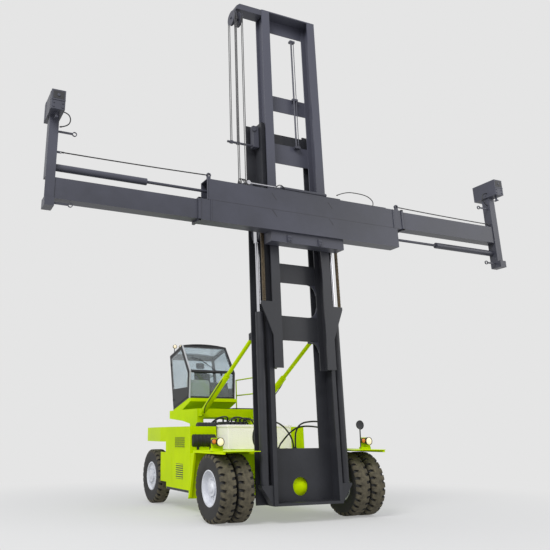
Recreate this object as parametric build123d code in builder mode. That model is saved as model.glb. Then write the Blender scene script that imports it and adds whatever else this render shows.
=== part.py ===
# Empty container handler: a two-stage side-lift mast on a twin-tyred truck,
# with the spreader drawn out to forty feet. X runs across the machine,
# Y to the rear, Z up. The origin is on the ground under the middle of its box.
import os
from math import atan2, cos, degrees, pi, radians, sin, sqrt, tan

from build123d import *

os.makedirs("parts", exist_ok=True)

mm = 1.0
m = 1000.0

# Driving dimensions of the whole machine
wheelbase = 4.56 * m
rear_overhang = 1.08 * m
tyre_radius = 686 * mm
tyre_width = 360 * mm
rim_radius = 365 * mm
drive_half_width = 2.05 * m
twin_gap = 55 * mm
steer_half_width = 1.66 * m
running_gap = 12 * mm
seat_gap = 0.3 * mm
overrun = 20 * mm

# Mast stages and how far they are raised here
mast_front = 0.70 * m
mast_depth = 0.37 * m
mast_half_width = 860 * mm
mast_foot_z = 0.347 * m
mast_top_z = 9.10 * m
inner_half_width = 805 * mm
inner_foot_z = 3.146 * m
inner_top_z = 12.28 * m
plate = 30 * mm

# Spreader, drawn out to forty feet
pin_half_spacing = 5.9925 * m
twenty_foot_pin_half_spacing = 2.9265 * m
spreader_front = 1.258 * m
box_depth = 0.33 * m
box_long = 2.814 * m
box_short = 2.597 * m
low_box_z = 6.141 * m
box_height = 0.484 * m
post_foot_z = 5.97 * m
head_z = 7.93 * m
head_height = 0.43 * m
head_front = 1.55 * m
head_length = 0.74 * m
head_width = 0.28 * m
beam_stroke = pin_half_spacing - twenty_foot_pin_half_spacing

# Place of the drive axle, so that the machine's box is centred on the origin
axle_y = (head_front - wheelbase - rear_overhang) / 2
steer_y = axle_y + wheelbase
rear_y = steer_y + rear_overhang
mast_y = axle_y - mast_front
sides = [("left", -1), ("right", 1)]


def block(x0, x1, y0, y1, z0, z1, mode=Mode.ADD):
    """A rectangular bar between two corners."""
    with Locations(((x0 + x1) / 2, (y0 + y1) / 2, (z0 + z1) / 2)):
        Box(abs(x1 - x0), abs(y1 - y0), abs(z1 - z0), mode=mode)


def slab(plane, outline, depth, mode=Mode.ADD):
    """A flat outline, drawn on a plane and extruded along its normal."""
    with BuildSketch(plane) as face:
        with BuildLine():
            Polyline(*outline, close=True)
        make_face()
    extrude(face.sketch, amount=depth, mode=mode)


def bar(start, end, radius, mode=Mode.ADD):
    """A round bar from one point to another."""
    way = Vector(*end) - Vector(*start)
    with BuildSketch(Plane(origin=start, z_dir=way)) as disc:
        Circle(radius)
    extrude(disc.sketch, amount=way.length, mode=mode)


def tube(start, end, radius, bore):
    """A round tube from one point to another."""
    bar(start, end, radius)
    bar(start, end, bore, mode=Mode.SUBTRACT)


def keep(piece, name):
    """Label a finished piece and write it to its file."""
    piece.part.label = name
    export_step(piece.part, f"parts/{name}.step")


# Tyres and rims
tyre_shoulder = 40 * mm
tyre_wall = 25 * mm
rim_flange = 12 * mm
rim_dish = 150 * mm
hub_radius = 150 * mm
hub_length = 60 * mm
rim_seat = rim_radius - rim_flange


def tyre_body(centre_x):
    """One tyre, turned about the X axis, with bowed side walls."""
    half = tyre_width / 2
    with BuildSketch(Plane.XY) as section:
        with BuildLine():
            Polyline((centre_x - half + tyre_wall, rim_radius),
                     (centre_x - half, rim_radius + 2 * tyre_shoulder),
                     (centre_x - half, tyre_radius - 2 * tyre_shoulder),
                     (centre_x - half + tyre_shoulder, tyre_radius),
                     (centre_x + half - tyre_shoulder, tyre_radius),
                     (centre_x + half, tyre_radius - 2 * tyre_shoulder),
                     (centre_x + half, rim_radius + 2 * tyre_shoulder),
                     (centre_x + half - tyre_wall, rim_radius), close=True)
        make_face()
    revolve(section.sketch, axis=Axis.X)


def rim_body(inner_x, outer_x, disc_x, side):
    """One rim: a barrel under the tyre with a dished disc and a hub."""
    with BuildSketch(Plane.XY) as section:
        with BuildLine():
            Polyline((inner_x, rim_radius - seat_gap), (outer_x, rim_radius - seat_gap),
                     (outer_x, rim_seat - rim_flange),
                     (disc_x + side * rim_flange, rim_seat - rim_flange),
                     (disc_x + side * rim_flange, 0), (disc_x - side * rim_flange, 0),
                     (disc_x - side * rim_flange, rim_seat - rim_flange),
                     (inner_x, rim_seat - rim_flange), close=True)
        make_face()
    revolve(section.sketch, axis=Axis.X)
    bar((disc_x, 0, 0), (disc_x + side * hub_length, 0, 0), hub_radius)


outer_tyre_x = drive_half_width - tyre_width / 2
inner_tyre_x = outer_tyre_x - tyre_width - twin_gap
drive_inner_face = inner_tyre_x - tyre_width / 2
steer_tyre_x = steer_half_width - tyre_width / 2
steer_inner_face = steer_half_width - tyre_width
drive_place = Location((0, axle_y, tyre_radius))
steer_place = Location((0, steer_y, tyre_radius))

for side_name, side in sides:
    with BuildPart() as tyres:
        for centre_x in (outer_tyre_x, inner_tyre_x):
            tyre_body(side * centre_x)
    tyres.part = tyres.part.moved(drive_place)
    keep(tyres, f"drive_tyres_{side_name}")

    with BuildPart() as rim:
        rim_body(side * (drive_inner_face + tyre_wall), side * (drive_half_width - tyre_wall),
                 side * (drive_half_width - rim_dish), side)
    rim.part = rim.part.moved(drive_place)
    keep(rim, f"drive_rims_{side_name}")

    with BuildPart() as tyre:
        tyre_body(side * steer_tyre_x)
    tyre.part = tyre.part.moved(steer_place)
    keep(tyre, f"steer_tyre_{side_name}")

    with BuildPart() as rim:
        rim_body(side * (steer_inner_face + tyre_wall), side * (steer_half_width - tyre_wall),
                 side * (steer_half_width - rim_dish / 2), side)
    rim.part = rim.part.moved(steer_place)
    keep(rim, f"steer_rim_{side_name}")

# Axles and knuckles
axle_radius = 170 * mm
diff_radius = 300 * mm
diff_half = 260 * mm
drive_axle_end = drive_inner_face - running_gap
kingpin_x = 1.10 * m
kingpin_radius = 45 * mm
knuckle_half_height = 190 * mm
knuckle_radius = 80 * mm
fork_thick = 50 * mm
steer_axle_half_depth = 110 * mm
spindle_radius = 70 * mm
hub_face_drive = drive_half_width - rim_dish - rim_flange - seat_gap
hub_face_steer = steer_half_width - rim_dish / 2 - rim_flange - seat_gap

with BuildPart() as drive_axle:
    bar((-hub_face_drive, axle_y, tyre_radius), (hub_face_drive, axle_y, tyre_radius), axle_radius)
    bar((-diff_half, axle_y, tyre_radius), (diff_half, axle_y, tyre_radius), diff_radius)
keep(drive_axle, "drive_axle")

with BuildPart() as steer_axle:
    block(-kingpin_x + knuckle_radius + running_gap, kingpin_x - knuckle_radius - running_gap,
          steer_y - steer_axle_half_depth, steer_y + steer_axle_half_depth,
          tyre_radius - knuckle_half_height, tyre_radius + knuckle_half_height)
    for side_name, side in sides:
        for end in (-1, 1):
            fork_z = tyre_radius + end * (knuckle_half_height + seat_gap)
            bar((side * kingpin_x, steer_y, fork_z),
                (side * kingpin_x, steer_y, fork_z + end * fork_thick), knuckle_radius)
            block(side * (kingpin_x - 2 * knuckle_radius), side * kingpin_x,
                  steer_y - knuckle_radius, steer_y + knuckle_radius,
                  fork_z, fork_z + end * fork_thick)
            block(side * (kingpin_x - 2 * knuckle_radius),
                  side * (kingpin_x - knuckle_radius - running_gap),
                  steer_y - knuckle_radius, steer_y + knuckle_radius,
                  tyre_radius, fork_z + end * fork_thick)
keep(steer_axle, "steer_axle")

for side_name, side in sides:
    with BuildPart() as knuckle:
        bar((side * kingpin_x, steer_y, tyre_radius - knuckle_half_height),
            (side * kingpin_x, steer_y, tyre_radius + knuckle_half_height), knuckle_radius)
        bar((side * kingpin_x, steer_y, tyre_radius),
            (side * hub_face_steer, steer_y, tyre_radius), spindle_radius)
    keep(knuckle, f"steer_knuckle_{side_name}")

# Chassis frame: two box rails, the front cross plate and the deck
rail_x = 0.46 * m
rail_width = 0.24 * m
rail_low = 0.98 * m
rail_high = 1.36 * m
rail_drop = 0.52 * m
rail_front = 0.24 * m
deck_z = 1.42 * m
fender_inner = 1.18 * m
side_box_inner = 0.70 * m
side_top_inner = 0.92 * m
side_box_front_y = axle_y + 1.10 * m
weight_front_y = axle_y + 1.92 * m
pivot_y = axle_y - 0.20 * m
pivot_z = 0.92 * m
pivot_x = 0.70 * m
pivot_radius = 60 * mm
pivot_boss = 94 * mm
lug_thick = 55 * mm
pin_clearance = 0.05 * mm
frame_front = axle_y - rail_front
rail_in = rail_x - rail_width / 2
rail_out = rail_x + rail_width / 2

with BuildPart() as chassis_frame:
    for side_name, side in sides:
        slab(Plane.YZ.offset(side * rail_x - rail_width / 2),
             [(frame_front, rail_low), (axle_y + 2 * axle_radius, rail_low),
              (axle_y + 2 * axle_radius + rail_drop, rail_drop),
              (steer_y - 2 * rail_drop, rail_drop), (steer_y - 1.5 * rail_drop, rail_low),
              (rear_y - rail_drop, rail_low), (rear_y - rail_drop, rail_high),
              (frame_front, rail_high)], rail_width)
        block(side * rail_in, side * rail_out, axle_y - axle_radius, axle_y + axle_radius,
              tyre_radius + axle_radius + seat_gap, rail_low)
        block(side * rail_in, side * rail_out, steer_y - knuckle_radius, steer_y + knuckle_radius,
              tyre_radius + knuckle_half_height + seat_gap, rail_low)
        for inner in (-1, 1):
            lug_x = side * pivot_x + inner * (lug_thick + running_gap)
            slab(Plane.YZ.offset(lug_x - lug_thick / 2),
                 [(frame_front, deck_z), (pivot_y - pivot_boss, pivot_z + pivot_boss),
                  (pivot_y - pivot_boss, pivot_z - pivot_boss),
                  (pivot_y + pivot_boss, pivot_z - pivot_boss), (axle_y, deck_z)], lug_thick)
    block(-rail_in, rail_in, frame_front, frame_front + plate, rail_low, rail_high)
    block(-fender_inner + seat_gap, fender_inner - seat_gap, frame_front,
          side_box_front_y - seat_gap, rail_high, deck_z)
    block(-side_box_inner + seat_gap, side_box_inner - seat_gap, frame_front,
          weight_front_y - seat_gap, rail_high, deck_z)
    bar((-drive_axle_end, pivot_y, pivot_z), (drive_axle_end, pivot_y, pivot_z),
        pivot_radius + pin_clearance, mode=Mode.SUBTRACT)
keep(chassis_frame, "chassis_frame")

# Body of the truck: counterweight, side boxes, hood, fenders and mudguards
body_half_width = 1.62 * m
tail_half_width = 1.38 * m
weight_low = 1.58 * m
weight_high = 1.95 * m
corner_y = axle_y + 3.97 * m
side_box_low = 0.44 * m
side_box_high = 1.33 * m
side_box_rear_y = axle_y + 3.55 * m
weight_lean = 80 * mm
sill_height = 75 * mm
fender_half = 0.76 * m
guard_y = axle_y + 1.04 * m
guard_low = 0.40 * m
sheet = 12 * mm
engine_half = 0.31 * m
engine_low = 0.72 * m
engine_high = 1.84 * m
mount_length = 120 * mm

with BuildPart() as counterweight:
    slab(Plane.XY.offset(weight_low),
         [(-body_half_width, corner_y), (-tail_half_width, rear_y),
          (tail_half_width, rear_y), (body_half_width, corner_y)],
         weight_high - weight_low)
    slab(Plane.YZ.offset(-rail_out),
         [(steer_y + diff_radius, rail_high), (steer_y + diff_radius, weight_low),
          (rear_y, weight_low), (rear_y, rail_high + weight_lean),
          (rear_y - weight_lean, rail_high)], 2 * rail_out)
keep(counterweight, "counterweight")

with BuildPart() as engine_block:
    block(-engine_half, engine_half, weight_front_y + 2 * overrun, side_box_rear_y,
          engine_low, engine_high)
    for mount_y in (weight_front_y + engine_half, side_box_rear_y - engine_half):
        block(-rail_in + seat_gap, rail_in - seat_gap, mount_y, mount_y + mount_length,
              rail_low + mount_length, rail_high - mount_length)
keep(engine_block, "engine_block")

for side_name, side in sides:
    with BuildPart() as side_box:
        slab(Plane.YZ.offset(side * body_half_width),
             [(side_box_front_y, side_box_low), (side_box_rear_y - sill_height, side_box_low),
              (side_box_rear_y, side_box_high - sill_height), (side_box_rear_y, side_box_high),
              (side_box_front_y, side_box_high)], -side * (body_half_width - side_box_inner))
        slab(Plane.YZ.offset(side * body_half_width),
             [(weight_front_y, side_box_high), (side_box_rear_y, side_box_high),
              (side_box_rear_y, weight_low - seat_gap), (corner_y - seat_gap, weight_low),
              (corner_y - seat_gap, weight_high), (weight_front_y, weight_high)],
             -side * (body_half_width - side_top_inner))
    keep(side_box, f"side_box_{side_name}")

    with BuildPart() as fender:
        slab(Plane.YZ.offset(side * fender_inner),
             [(axle_y - fender_half, deck_z), (axle_y - fender_half, deck_z + sheet),
              (axle_y + fender_half, deck_z + sheet), (guard_y + sheet, guard_low),
              (guard_y, guard_low), (axle_y + fender_half - sheet, deck_z)],
             side * (drive_half_width - fender_inner))
    keep(fender, f"fender_{side_name}")

# Platform: two columns on the side boxes, arms to the rear, cross beams
column_in = 0.72 * m
column_out = 0.90 * m
column_front_y = axle_y + 3.12 * m
column_depth = 0.50 * m
arm_rear_y = axle_y + 5.12 * m
platform_low = 2.12 * m
platform_high = 2.42 * m
beam_width = 0.16 * m
tilt_low_y = axle_y + 3.00 * m
tilt_low_z = 2.30 * m
tilt_x = 0.81 * m
tilt_high_y = axle_y + 0.10 * m
tilt_high_z = 3.93 * m
tilt_pin_radius = 35 * mm
tilt_eye_radius = 75 * mm
tilt_eye_thick = 70 * mm
tilt_ear = 18 * mm
tilt_rod_radius = 48 * mm
tilt_pin_half = 85 * mm
walk_out = 1.32 * m
walk_in = 0.30 * m
walk_thick = 35 * mm
walk_front_y = axle_y + 3.30 * m
walk_rear_y = axle_y + 4.02 * m
rail_bar = 19 * mm
rail_top_z = 3.36 * m
rail_mid_z = 2.90 * m

with BuildPart() as platform:
    for side_name, side in sides:
        slab(Plane.YZ.offset(side * column_in),
             [(column_front_y, side_box_high), (column_front_y, platform_high),
              (arm_rear_y, platform_high), (arm_rear_y, platform_low + beam_width / 2),
              (column_front_y + 2 * column_depth, platform_low),
              (column_front_y + column_depth, platform_low - beam_width / 2),
              (column_front_y + column_depth, side_box_high)], side * (column_out - column_in))
        for cheek in (-1, 1):
            ear_x = side * tilt_x + cheek * (tilt_eye_thick / 2 + running_gap / 4)
            block(ear_x, ear_x + cheek * tilt_ear, tilt_low_y - tilt_pin_radius * 2, column_front_y,
                  tilt_low_z - tilt_eye_radius, platform_high)
        bar((side * tilt_x - tilt_eye_thick, tilt_low_y, tilt_low_z),
            (side * tilt_x + tilt_eye_thick, tilt_low_y, tilt_low_z), tilt_pin_radius)
    for beam_y in (column_front_y, arm_rear_y - beam_width):
        block(-column_in, column_in, beam_y, beam_y + beam_width, platform_low + beam_width / 2,
              platform_high)
keep(platform, "platform")

with BuildPart() as walkway:
    block(walk_in, walk_out, walk_front_y, walk_rear_y, platform_high + seat_gap,
          platform_high + seat_gap + walk_thick)
    block(column_out, walk_out, walk_rear_y, arm_rear_y, platform_high + seat_gap,
          platform_high + seat_gap + walk_thick)
keep(walkway, "walkway")

with BuildPart() as handrails:
    rail_x_out = walk_out - rail_bar
    rail_foot_z = platform_high + 2 * seat_gap + walk_thick
    for post_y in (walk_front_y + rail_bar, walk_rear_y - rail_bar, arm_rear_y - rail_bar):
        bar((rail_x_out, post_y, rail_foot_z), (rail_x_out, post_y, rail_top_z), rail_bar)
    for rail_z in (rail_mid_z, rail_top_z):
        bar((rail_x_out, walk_front_y + rail_bar, rail_z),
            (rail_x_out, arm_rear_y - rail_bar, rail_z), rail_bar)
keep(handrails, "handrails")

# Cab: leaned back on its cradle, with its panels, doors, roof and glass
cab_half = 0.73 * m
cab_low_front = (axle_y + 4.10 * m, 2.74 * m)
cab_kink = (axle_y + 4.05 * m, 3.48 * m)
cab_top_front = (axle_y + 4.64 * m, 4.29 * m)
cab_top_rear = (axle_y + 5.58 * m, 4.06 * m)
cab_low_rear = (axle_y + 5.25 * m, 2.45 * m)
cab_post = 60 * mm
cab_skin = 25 * mm
glass = 8 * mm
cab_profile = [cab_low_front, cab_kink, cab_top_front, cab_top_rear, cab_low_rear]
cradle_front_y = axle_y + 3.98 * m
cradle_foot_y = axle_y + 4.62 * m
cradle_wall = 30 * mm
floor_drop = 45 * mm
door_gap = 6 * mm

with BuildPart() as cab_cradle:
    slab(Plane.YZ.offset(-cab_half),
         [(cradle_front_y, cab_low_front[1] - 2 * floor_drop),
          (cradle_front_y, cab_low_front[1] - seat_gap), (cab_low_front[0], cab_low_front[1] - seat_gap),
          (cab_low_rear[0], cab_low_rear[1] - seat_gap),
          (cab_low_rear[0], platform_high + 2 * seat_gap), (cradle_foot_y, platform_high + seat_gap)],
         2 * cab_half)
keep(cab_cradle, "cab_cradle")

with BuildPart() as cab_frame:
    slab(Plane.YZ.offset(-cab_half), cab_profile, 2 * cab_half)
    with BuildSketch(Plane.YZ.offset(-cab_half + cab_post)) as room:
        with BuildLine():
            Polyline(*cab_profile, close=True)
        make_face()
        offset(amount=-cab_skin, mode=Mode.REPLACE)
    extrude(room.sketch, amount=2 * (cab_half - cab_post), mode=Mode.SUBTRACT)
    with BuildSketch(Plane.YZ.offset(-cab_half - cab_post)) as doorway:
        with BuildLine():
            Polyline(*cab_profile, close=True)
        make_face()
        offset(amount=-cab_post, mode=Mode.REPLACE)
    extrude(doorway.sketch, amount=2 * (cab_half + cab_post), mode=Mode.SUBTRACT)
    block(-cab_half + cab_post, cab_half - cab_post, cab_kink[0] - cab_post, cab_top_front[0],
          cab_kink[1], cab_top_front[1] - cab_post, mode=Mode.SUBTRACT)
    block(-cab_half + cab_post, cab_half - cab_post, cab_low_rear[0] - cab_post,
          cab_top_rear[0] + cab_post, cab_kink[1] - 2 * cab_post, cab_top_rear[1] - 2 * cab_post,
          mode=Mode.SUBTRACT)
keep(cab_frame, "cab_frame")

# Cab door on the left, hung at its rear edge, and the fixed panel on the right
door_thick = 32 * mm
hinge_radius = 12 * mm
window_low_z = 3.05 * m
hinge_share = (0.15, 0.80)
rear_lean = Vector(0, cab_top_rear[0] - cab_low_rear[0], cab_top_rear[1] - cab_low_rear[1])
rear_unit = rear_lean.normalized()
inward = Vector(0, -rear_unit.Z, rear_unit.Y)
hinge_foot = Vector(0, *cab_low_rear) + inward * (cab_post + door_gap / 2)
hinge_x = cab_half + hinge_radius + seat_gap

for name, side in (("cab_door", -1), ("cab_side_panel", 1)):
    with BuildPart() as door:
        with BuildSketch(Plane.YZ.offset(side * cab_half)) as leaf:
            with BuildLine():
                Polyline(*cab_profile, close=True)
            make_face()
            offset(amount=-(cab_post + (door_gap if side < 0 else seat_gap)), mode=Mode.REPLACE)
        extrude(leaf.sketch, amount=-side * door_thick)
        with BuildSketch(Plane.YZ.offset(side * (cab_half + overrun))) as window:
            with BuildLine():
                Polyline(*cab_profile, close=True)
            make_face()
            offset(amount=-2 * cab_post, mode=Mode.REPLACE)
            with Locations(((cab_low_front[0] + cab_low_rear[0]) / 2, window_low_z - 1 * m)):
                Rectangle(4 * m, 2 * m, mode=Mode.SUBTRACT)
        extrude(window.sketch, amount=-side * (door_thick + 2 * overrun), mode=Mode.SUBTRACT)
        if side < 0:
            for share in hinge_share:
                knuckle_foot = hinge_foot + rear_lean * share
                knuckle_top = knuckle_foot + rear_unit * 6 * hinge_radius
                bar((-hinge_x, knuckle_foot.Y, knuckle_foot.Z),
                    (-hinge_x, knuckle_top.Y, knuckle_top.Z), hinge_radius)
                leaf_y = knuckle_foot.Y - 4 * hinge_radius
                block(-hinge_x, -cab_half, leaf_y, knuckle_foot.Y, knuckle_foot.Z + hinge_radius,
                      knuckle_foot.Z + 4 * hinge_radius)
    keep(door, name)

# Outer mast: two channels, front plate, cross beams, feet and pivot lugs
flange_in = 0.765 * m
rear_flange_in = 0.54 * m
rear_flange_out = 1.10 * m
mast_rear = mast_y + mast_depth
mast_pivot_lug = 50 * mm
front_plate_top = 1.47 * m
sole_z = 0.40 * m
hole_radius = 0.19 * m
hole_z = 0.69 * m
cross_beams_outer = [(5.20 * m, 0.35 * m), (8.62 * m, 0.42 * m)]
cylinder_x = 1.01 * m
cylinder_y = mast_y + 0.12 * m
barrel_radius = 95 * mm
ledge_z = 0.75 * m
ledge_thick = 40 * mm
foot_out = cylinder_x + barrel_radius + overrun
rod_bore = 56 * mm
lift_rod_radius = 55 * mm
barrel_top_z = 4.38 * m

with BuildPart() as outer_mast:
    for side_name, side in sides:
        slab(Plane.XY.offset(mast_foot_z),
             [(side * flange_in, mast_y), (side * mast_half_width, mast_y),
              (side * mast_half_width, mast_rear - plate), (side * rear_flange_out, mast_rear - plate),
              (side * rear_flange_out, mast_rear), (side * rear_flange_in, mast_rear),
              (side * rear_flange_in, mast_rear - plate),
              (side * (mast_half_width - plate), mast_rear - plate),
              (side * (mast_half_width - plate), mast_y + plate), (side * flange_in, mast_y + plate)],
             mast_top_z - mast_foot_z)
        slab(Plane.XZ.offset(-cylinder_y - barrel_radius),
             [(side * mast_half_width, mast_foot_z), (side * foot_out, ledge_z - ledge_thick),
              (side * foot_out, ledge_z), (side * mast_half_width, ledge_z)], 2 * barrel_radius)
        slab(Plane.YZ.offset(side * pivot_x - mast_pivot_lug / 2),
             [(mast_rear, pivot_z + 2 * pivot_boss), (mast_rear, pivot_z - 2 * pivot_boss),
              (pivot_y + pivot_radius, pivot_z - pivot_boss / 2),
              (pivot_y + pivot_radius, pivot_z + pivot_boss / 2)], mast_pivot_lug)
        bar((side * pivot_x - 2 * lug_thick, pivot_y, pivot_z),
            (side * pivot_x + 2 * lug_thick, pivot_y, pivot_z), pivot_radius)
        for cheek in (-1, 1):
            cheek_x = side * tilt_x + cheek * (tilt_rod_radius + running_gap + tilt_ear / 2)
            slab(Plane.YZ.offset(cheek_x - tilt_ear / 2),
                 [(mast_rear, tilt_high_z + 2 * tilt_eye_radius),
                  (mast_rear, tilt_high_z - 2 * tilt_eye_radius),
                  (tilt_high_y + tilt_eye_radius, tilt_high_z - tilt_eye_radius),
                  (tilt_high_y + tilt_eye_radius, tilt_high_z + tilt_eye_radius)], tilt_ear)
        bar((side * tilt_x - tilt_pin_half, tilt_high_y, tilt_high_z),
            (side * tilt_x + tilt_pin_half, tilt_high_y, tilt_high_z), tilt_pin_radius)
    block(-mast_half_width, mast_half_width, mast_y, mast_rear, mast_foot_z, sole_z)
    block(-rear_flange_in, rear_flange_in, mast_rear - plate, mast_rear, mast_foot_z,
          front_plate_top)
    for beam_z, beam_height in cross_beams_outer:
        block(-rear_flange_in, rear_flange_in, mast_rear - plate, mast_rear, beam_z,
              beam_z + beam_height)
    bar((0, mast_y - overrun, hole_z), (0, mast_rear + overrun, hole_z), hole_radius,
        mode=Mode.SUBTRACT)
keep(outer_mast, "outer_mast")

# Lift cylinders: barrels on the mast's feet, rods with a chain wheel on each
lift_rod_top = 6.02 * m
wheel_radius = 205 * mm
wheel_half = 34 * mm
wheel_pin_radius = 30 * mm
chain_z = lift_rod_top + wheel_radius + overrun
cheek_thick = 16 * mm
cheek_half = 70 * mm
chain_thick = 30 * mm
chain_half = 33 * mm
chain_low_z = 4.42 * m
chain_clearance = 10 * mm
rod_start_z = barrel_top_z - 1.35 * m - overrun

for side_name, side in sides:
    with BuildPart() as barrel:
        bar((side * cylinder_x, cylinder_y, ledge_z + seat_gap),
            (side * cylinder_x, cylinder_y, barrel_top_z), barrel_radius)
        bar((side * cylinder_x, cylinder_y, ledge_z + barrel_radius),
            (side * cylinder_x, cylinder_y, barrel_top_z + overrun), rod_bore, mode=Mode.SUBTRACT)
    keep(barrel, f"lift_barrel_{side_name}")

    with BuildPart() as lift_rod:
        bar((side * cylinder_x, cylinder_y, rod_start_z), (side * cylinder_x, cylinder_y, lift_rod_top),
            lift_rod_radius)
        block(side * cylinder_x - wheel_half - cheek_thick - seat_gap,
              side * cylinder_x + wheel_half + cheek_thick + seat_gap,
              cylinder_y - cheek_half, cylinder_y + cheek_half, lift_rod_top - cheek_thick, lift_rod_top)
        for cheek in (-1, 1):
            cheek_x = side * cylinder_x + cheek * (wheel_half + seat_gap)
            block(cheek_x, cheek_x + cheek * cheek_thick, cylinder_y - cheek_half,
                  cylinder_y + cheek_half, lift_rod_top, chain_z + cheek_half)
        bar((side * cylinder_x - wheel_half - cheek_thick, cylinder_y, chain_z),
            (side * cylinder_x + wheel_half + cheek_thick, cylinder_y, chain_z), wheel_pin_radius)
    keep(lift_rod, f"lift_rod_{side_name}")

    with BuildPart() as chain_wheel:
        bar((side * cylinder_x - wheel_half, cylinder_y, chain_z),
            (side * cylinder_x + wheel_half, cylinder_y, chain_z), wheel_radius)
        bar((side * cylinder_x - wheel_half, cylinder_y, chain_z),
            (side * cylinder_x + wheel_half, cylinder_y, chain_z), wheel_pin_radius + seat_gap,
            mode=Mode.SUBTRACT)
    keep(chain_wheel, f"chain_wheel_{side_name}")

# Inner mast: two joists, cross plates, chain plates and the head beam
inner_web_out = 0.735 * m
inner_web_in = 0.70 * m
inner_front = mast_y - 0.13 * m
inner_rear = mast_y + 0.20 * m
inner_flange_in = 0.58 * m
inner_rear_out = 0.805 * m
cross_plates_inner = [(3.80 * m, 0.56 * m), (5.14 * m, 0.46 * m), (6.70 * m, 0.42 * m),
                      (8.18 * m, 0.52 * m), (9.62 * m, 0.42 * m)]
head_beam_height = 0.35 * m
wing_out = 1.08 * m
guide_height = 0.30 * m
wing_low = 3.84 * m
wing_high = 4.60 * m

with BuildPart() as inner_mast:
    for side_name, side in sides:
        slab(Plane.XY.offset(inner_foot_z),
             [(side * inner_flange_in, inner_front), (side * inner_half_width, inner_front),
              (side * inner_half_width, inner_front + plate), (side * inner_web_out, inner_front + plate),
              (side * inner_web_out, inner_rear - plate), (side * inner_rear_out, inner_rear - plate),
              (side * inner_rear_out, inner_rear), (side * inner_flange_in, inner_rear),
              (side * inner_flange_in, inner_rear - plate), (side * inner_web_in, inner_rear - plate),
              (side * inner_web_in, inner_front + plate), (side * inner_flange_in, inner_front + plate)],
             inner_top_z - inner_foot_z)
        slab(Plane.XZ.offset(-inner_front - plate),
             [(side * inner_half_width, wing_low), (side * wing_out, wing_high - 2 * chain_half),
              (side * wing_out, wing_high), (side * inner_half_width, wing_high)], plate)
        block(side * inner_rear_out, side * (mast_half_width - plate - seat_gap),
              inner_rear - 2 * plate, inner_rear, inner_foot_z, inner_foot_z + guide_height)
    for plate_z, plate_height in cross_plates_inner:
        block(-inner_web_in, inner_web_in, inner_rear, inner_rear + plate, plate_z,
              plate_z + plate_height)
    block(-inner_half_width, inner_half_width, inner_front, inner_rear + plate,
          inner_top_z, inner_top_z + plate)
    block(-inner_web_in, inner_web_in, inner_rear, inner_rear + plate,
          inner_top_z - head_beam_height, inner_top_z + plate)
keep(inner_mast, "inner_mast")

for side_name, side in sides:
    with BuildPart() as chain:
        chain_y = cylinder_y - wheel_radius - chain_clearance
        block(side * cylinder_x - chain_half, side * cylinder_x + chain_half,
              chain_y - chain_thick, chain_y, wing_high + seat_gap, chain_z)
    keep(chain, f"lift_chain_{side_name}")

# Carriage: two roller arms, front plate and the rails that the spreader slides on
arm_x = 0.525 * m
arm_thick = 40 * mm
carriage_rear = axle_y - spreader_front + box_depth + running_gap
carriage_plate = 55 * mm
carriage_low = 5.90 * m
carriage_high = 7.22 * m
carriage_half = 0.98 * m
arm_low = 6.02 * m
arm_high = 7.35 * m
arm_rear = mast_y + 0.155 * m
roller_radius = (inner_rear - inner_front) / 2 - plate - seat_gap
roller_in = arm_x + arm_thick
roller_out = inner_web_in - running_gap
roller_y = (inner_front + inner_rear) / 2
roller_zs = [6.20 * m, 7.15 * m]
guide = 70 * mm
spread_y = axle_y - spreader_front
low_box_top = low_box_z + box_height
high_box_z = low_box_top + seat_gap
high_box_top = high_box_z + box_height

with BuildPart() as carriage:
    block(-carriage_half, carriage_half, carriage_rear, carriage_rear + carriage_plate,
          carriage_low, carriage_high)
    block(-arm_x, arm_x, carriage_rear - overrun, carriage_rear + 2 * carriage_plate,
          low_box_z + guide, high_box_top - guide, mode=Mode.SUBTRACT)
    for side_name, side in sides:
        block(side * arm_x, side * (arm_x + arm_thick), carriage_rear, arm_rear, arm_low, arm_high)
        for roller_z in roller_zs:
            bar((side * arm_x, roller_y, roller_z), (side * roller_out, roller_y, roller_z),
                roller_radius)
    block(-carriage_half, carriage_half, spread_y + guide, carriage_rear + overrun,
          carriage_low, low_box_z - seat_gap)
    block(-carriage_half, carriage_half, spread_y + guide, carriage_rear + overrun,
          high_box_top + door_gap, high_box_top + guide)
keep(carriage, "carriage")

# Spreader: two hollow boxes, one over the other, each open at its beam's end
box_wall = 14 * mm
box_rear_y = spread_y + box_depth
beam_clearance = 8 * mm
beam_in = 1.75 * m

for name, side, low_z in (("spreader_box_low", -1, low_box_z), ("spreader_box_high", 1, high_box_z)):
    with BuildPart() as box_beam:
        block(-side * box_short, side * box_long, spread_y, box_rear_y, low_z, low_z + box_height)
        block(-side * (box_short + overrun), side * (box_long + overrun), spread_y + box_wall,
              box_rear_y - box_wall, low_z + box_wall, low_z + box_height - box_wall,
              mode=Mode.SUBTRACT)
    keep(box_beam, name)

# Telescopic beams, each with its post, foot pad, head, strut and line
beam_front = spread_y + box_wall + beam_clearance
beam_rear = box_rear_y - box_wall - beam_clearance
beam_wall = 12 * mm
slide_pad = 0.22 * m
post_half = 95 * mm
post_front = spread_y - seat_gap
post_rear = spread_y + 0.24 * m
pad_front = axle_y - 1.34 * m
pad_height = 0.17 * m
strut_radius = 75 * mm
strut_rod_radius = 32 * mm
strut_length = 2.05 * m
lock_radius = 27 * mm
lock_y = axle_y - 1.42 * m
lock_length = 0.11 * m

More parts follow.
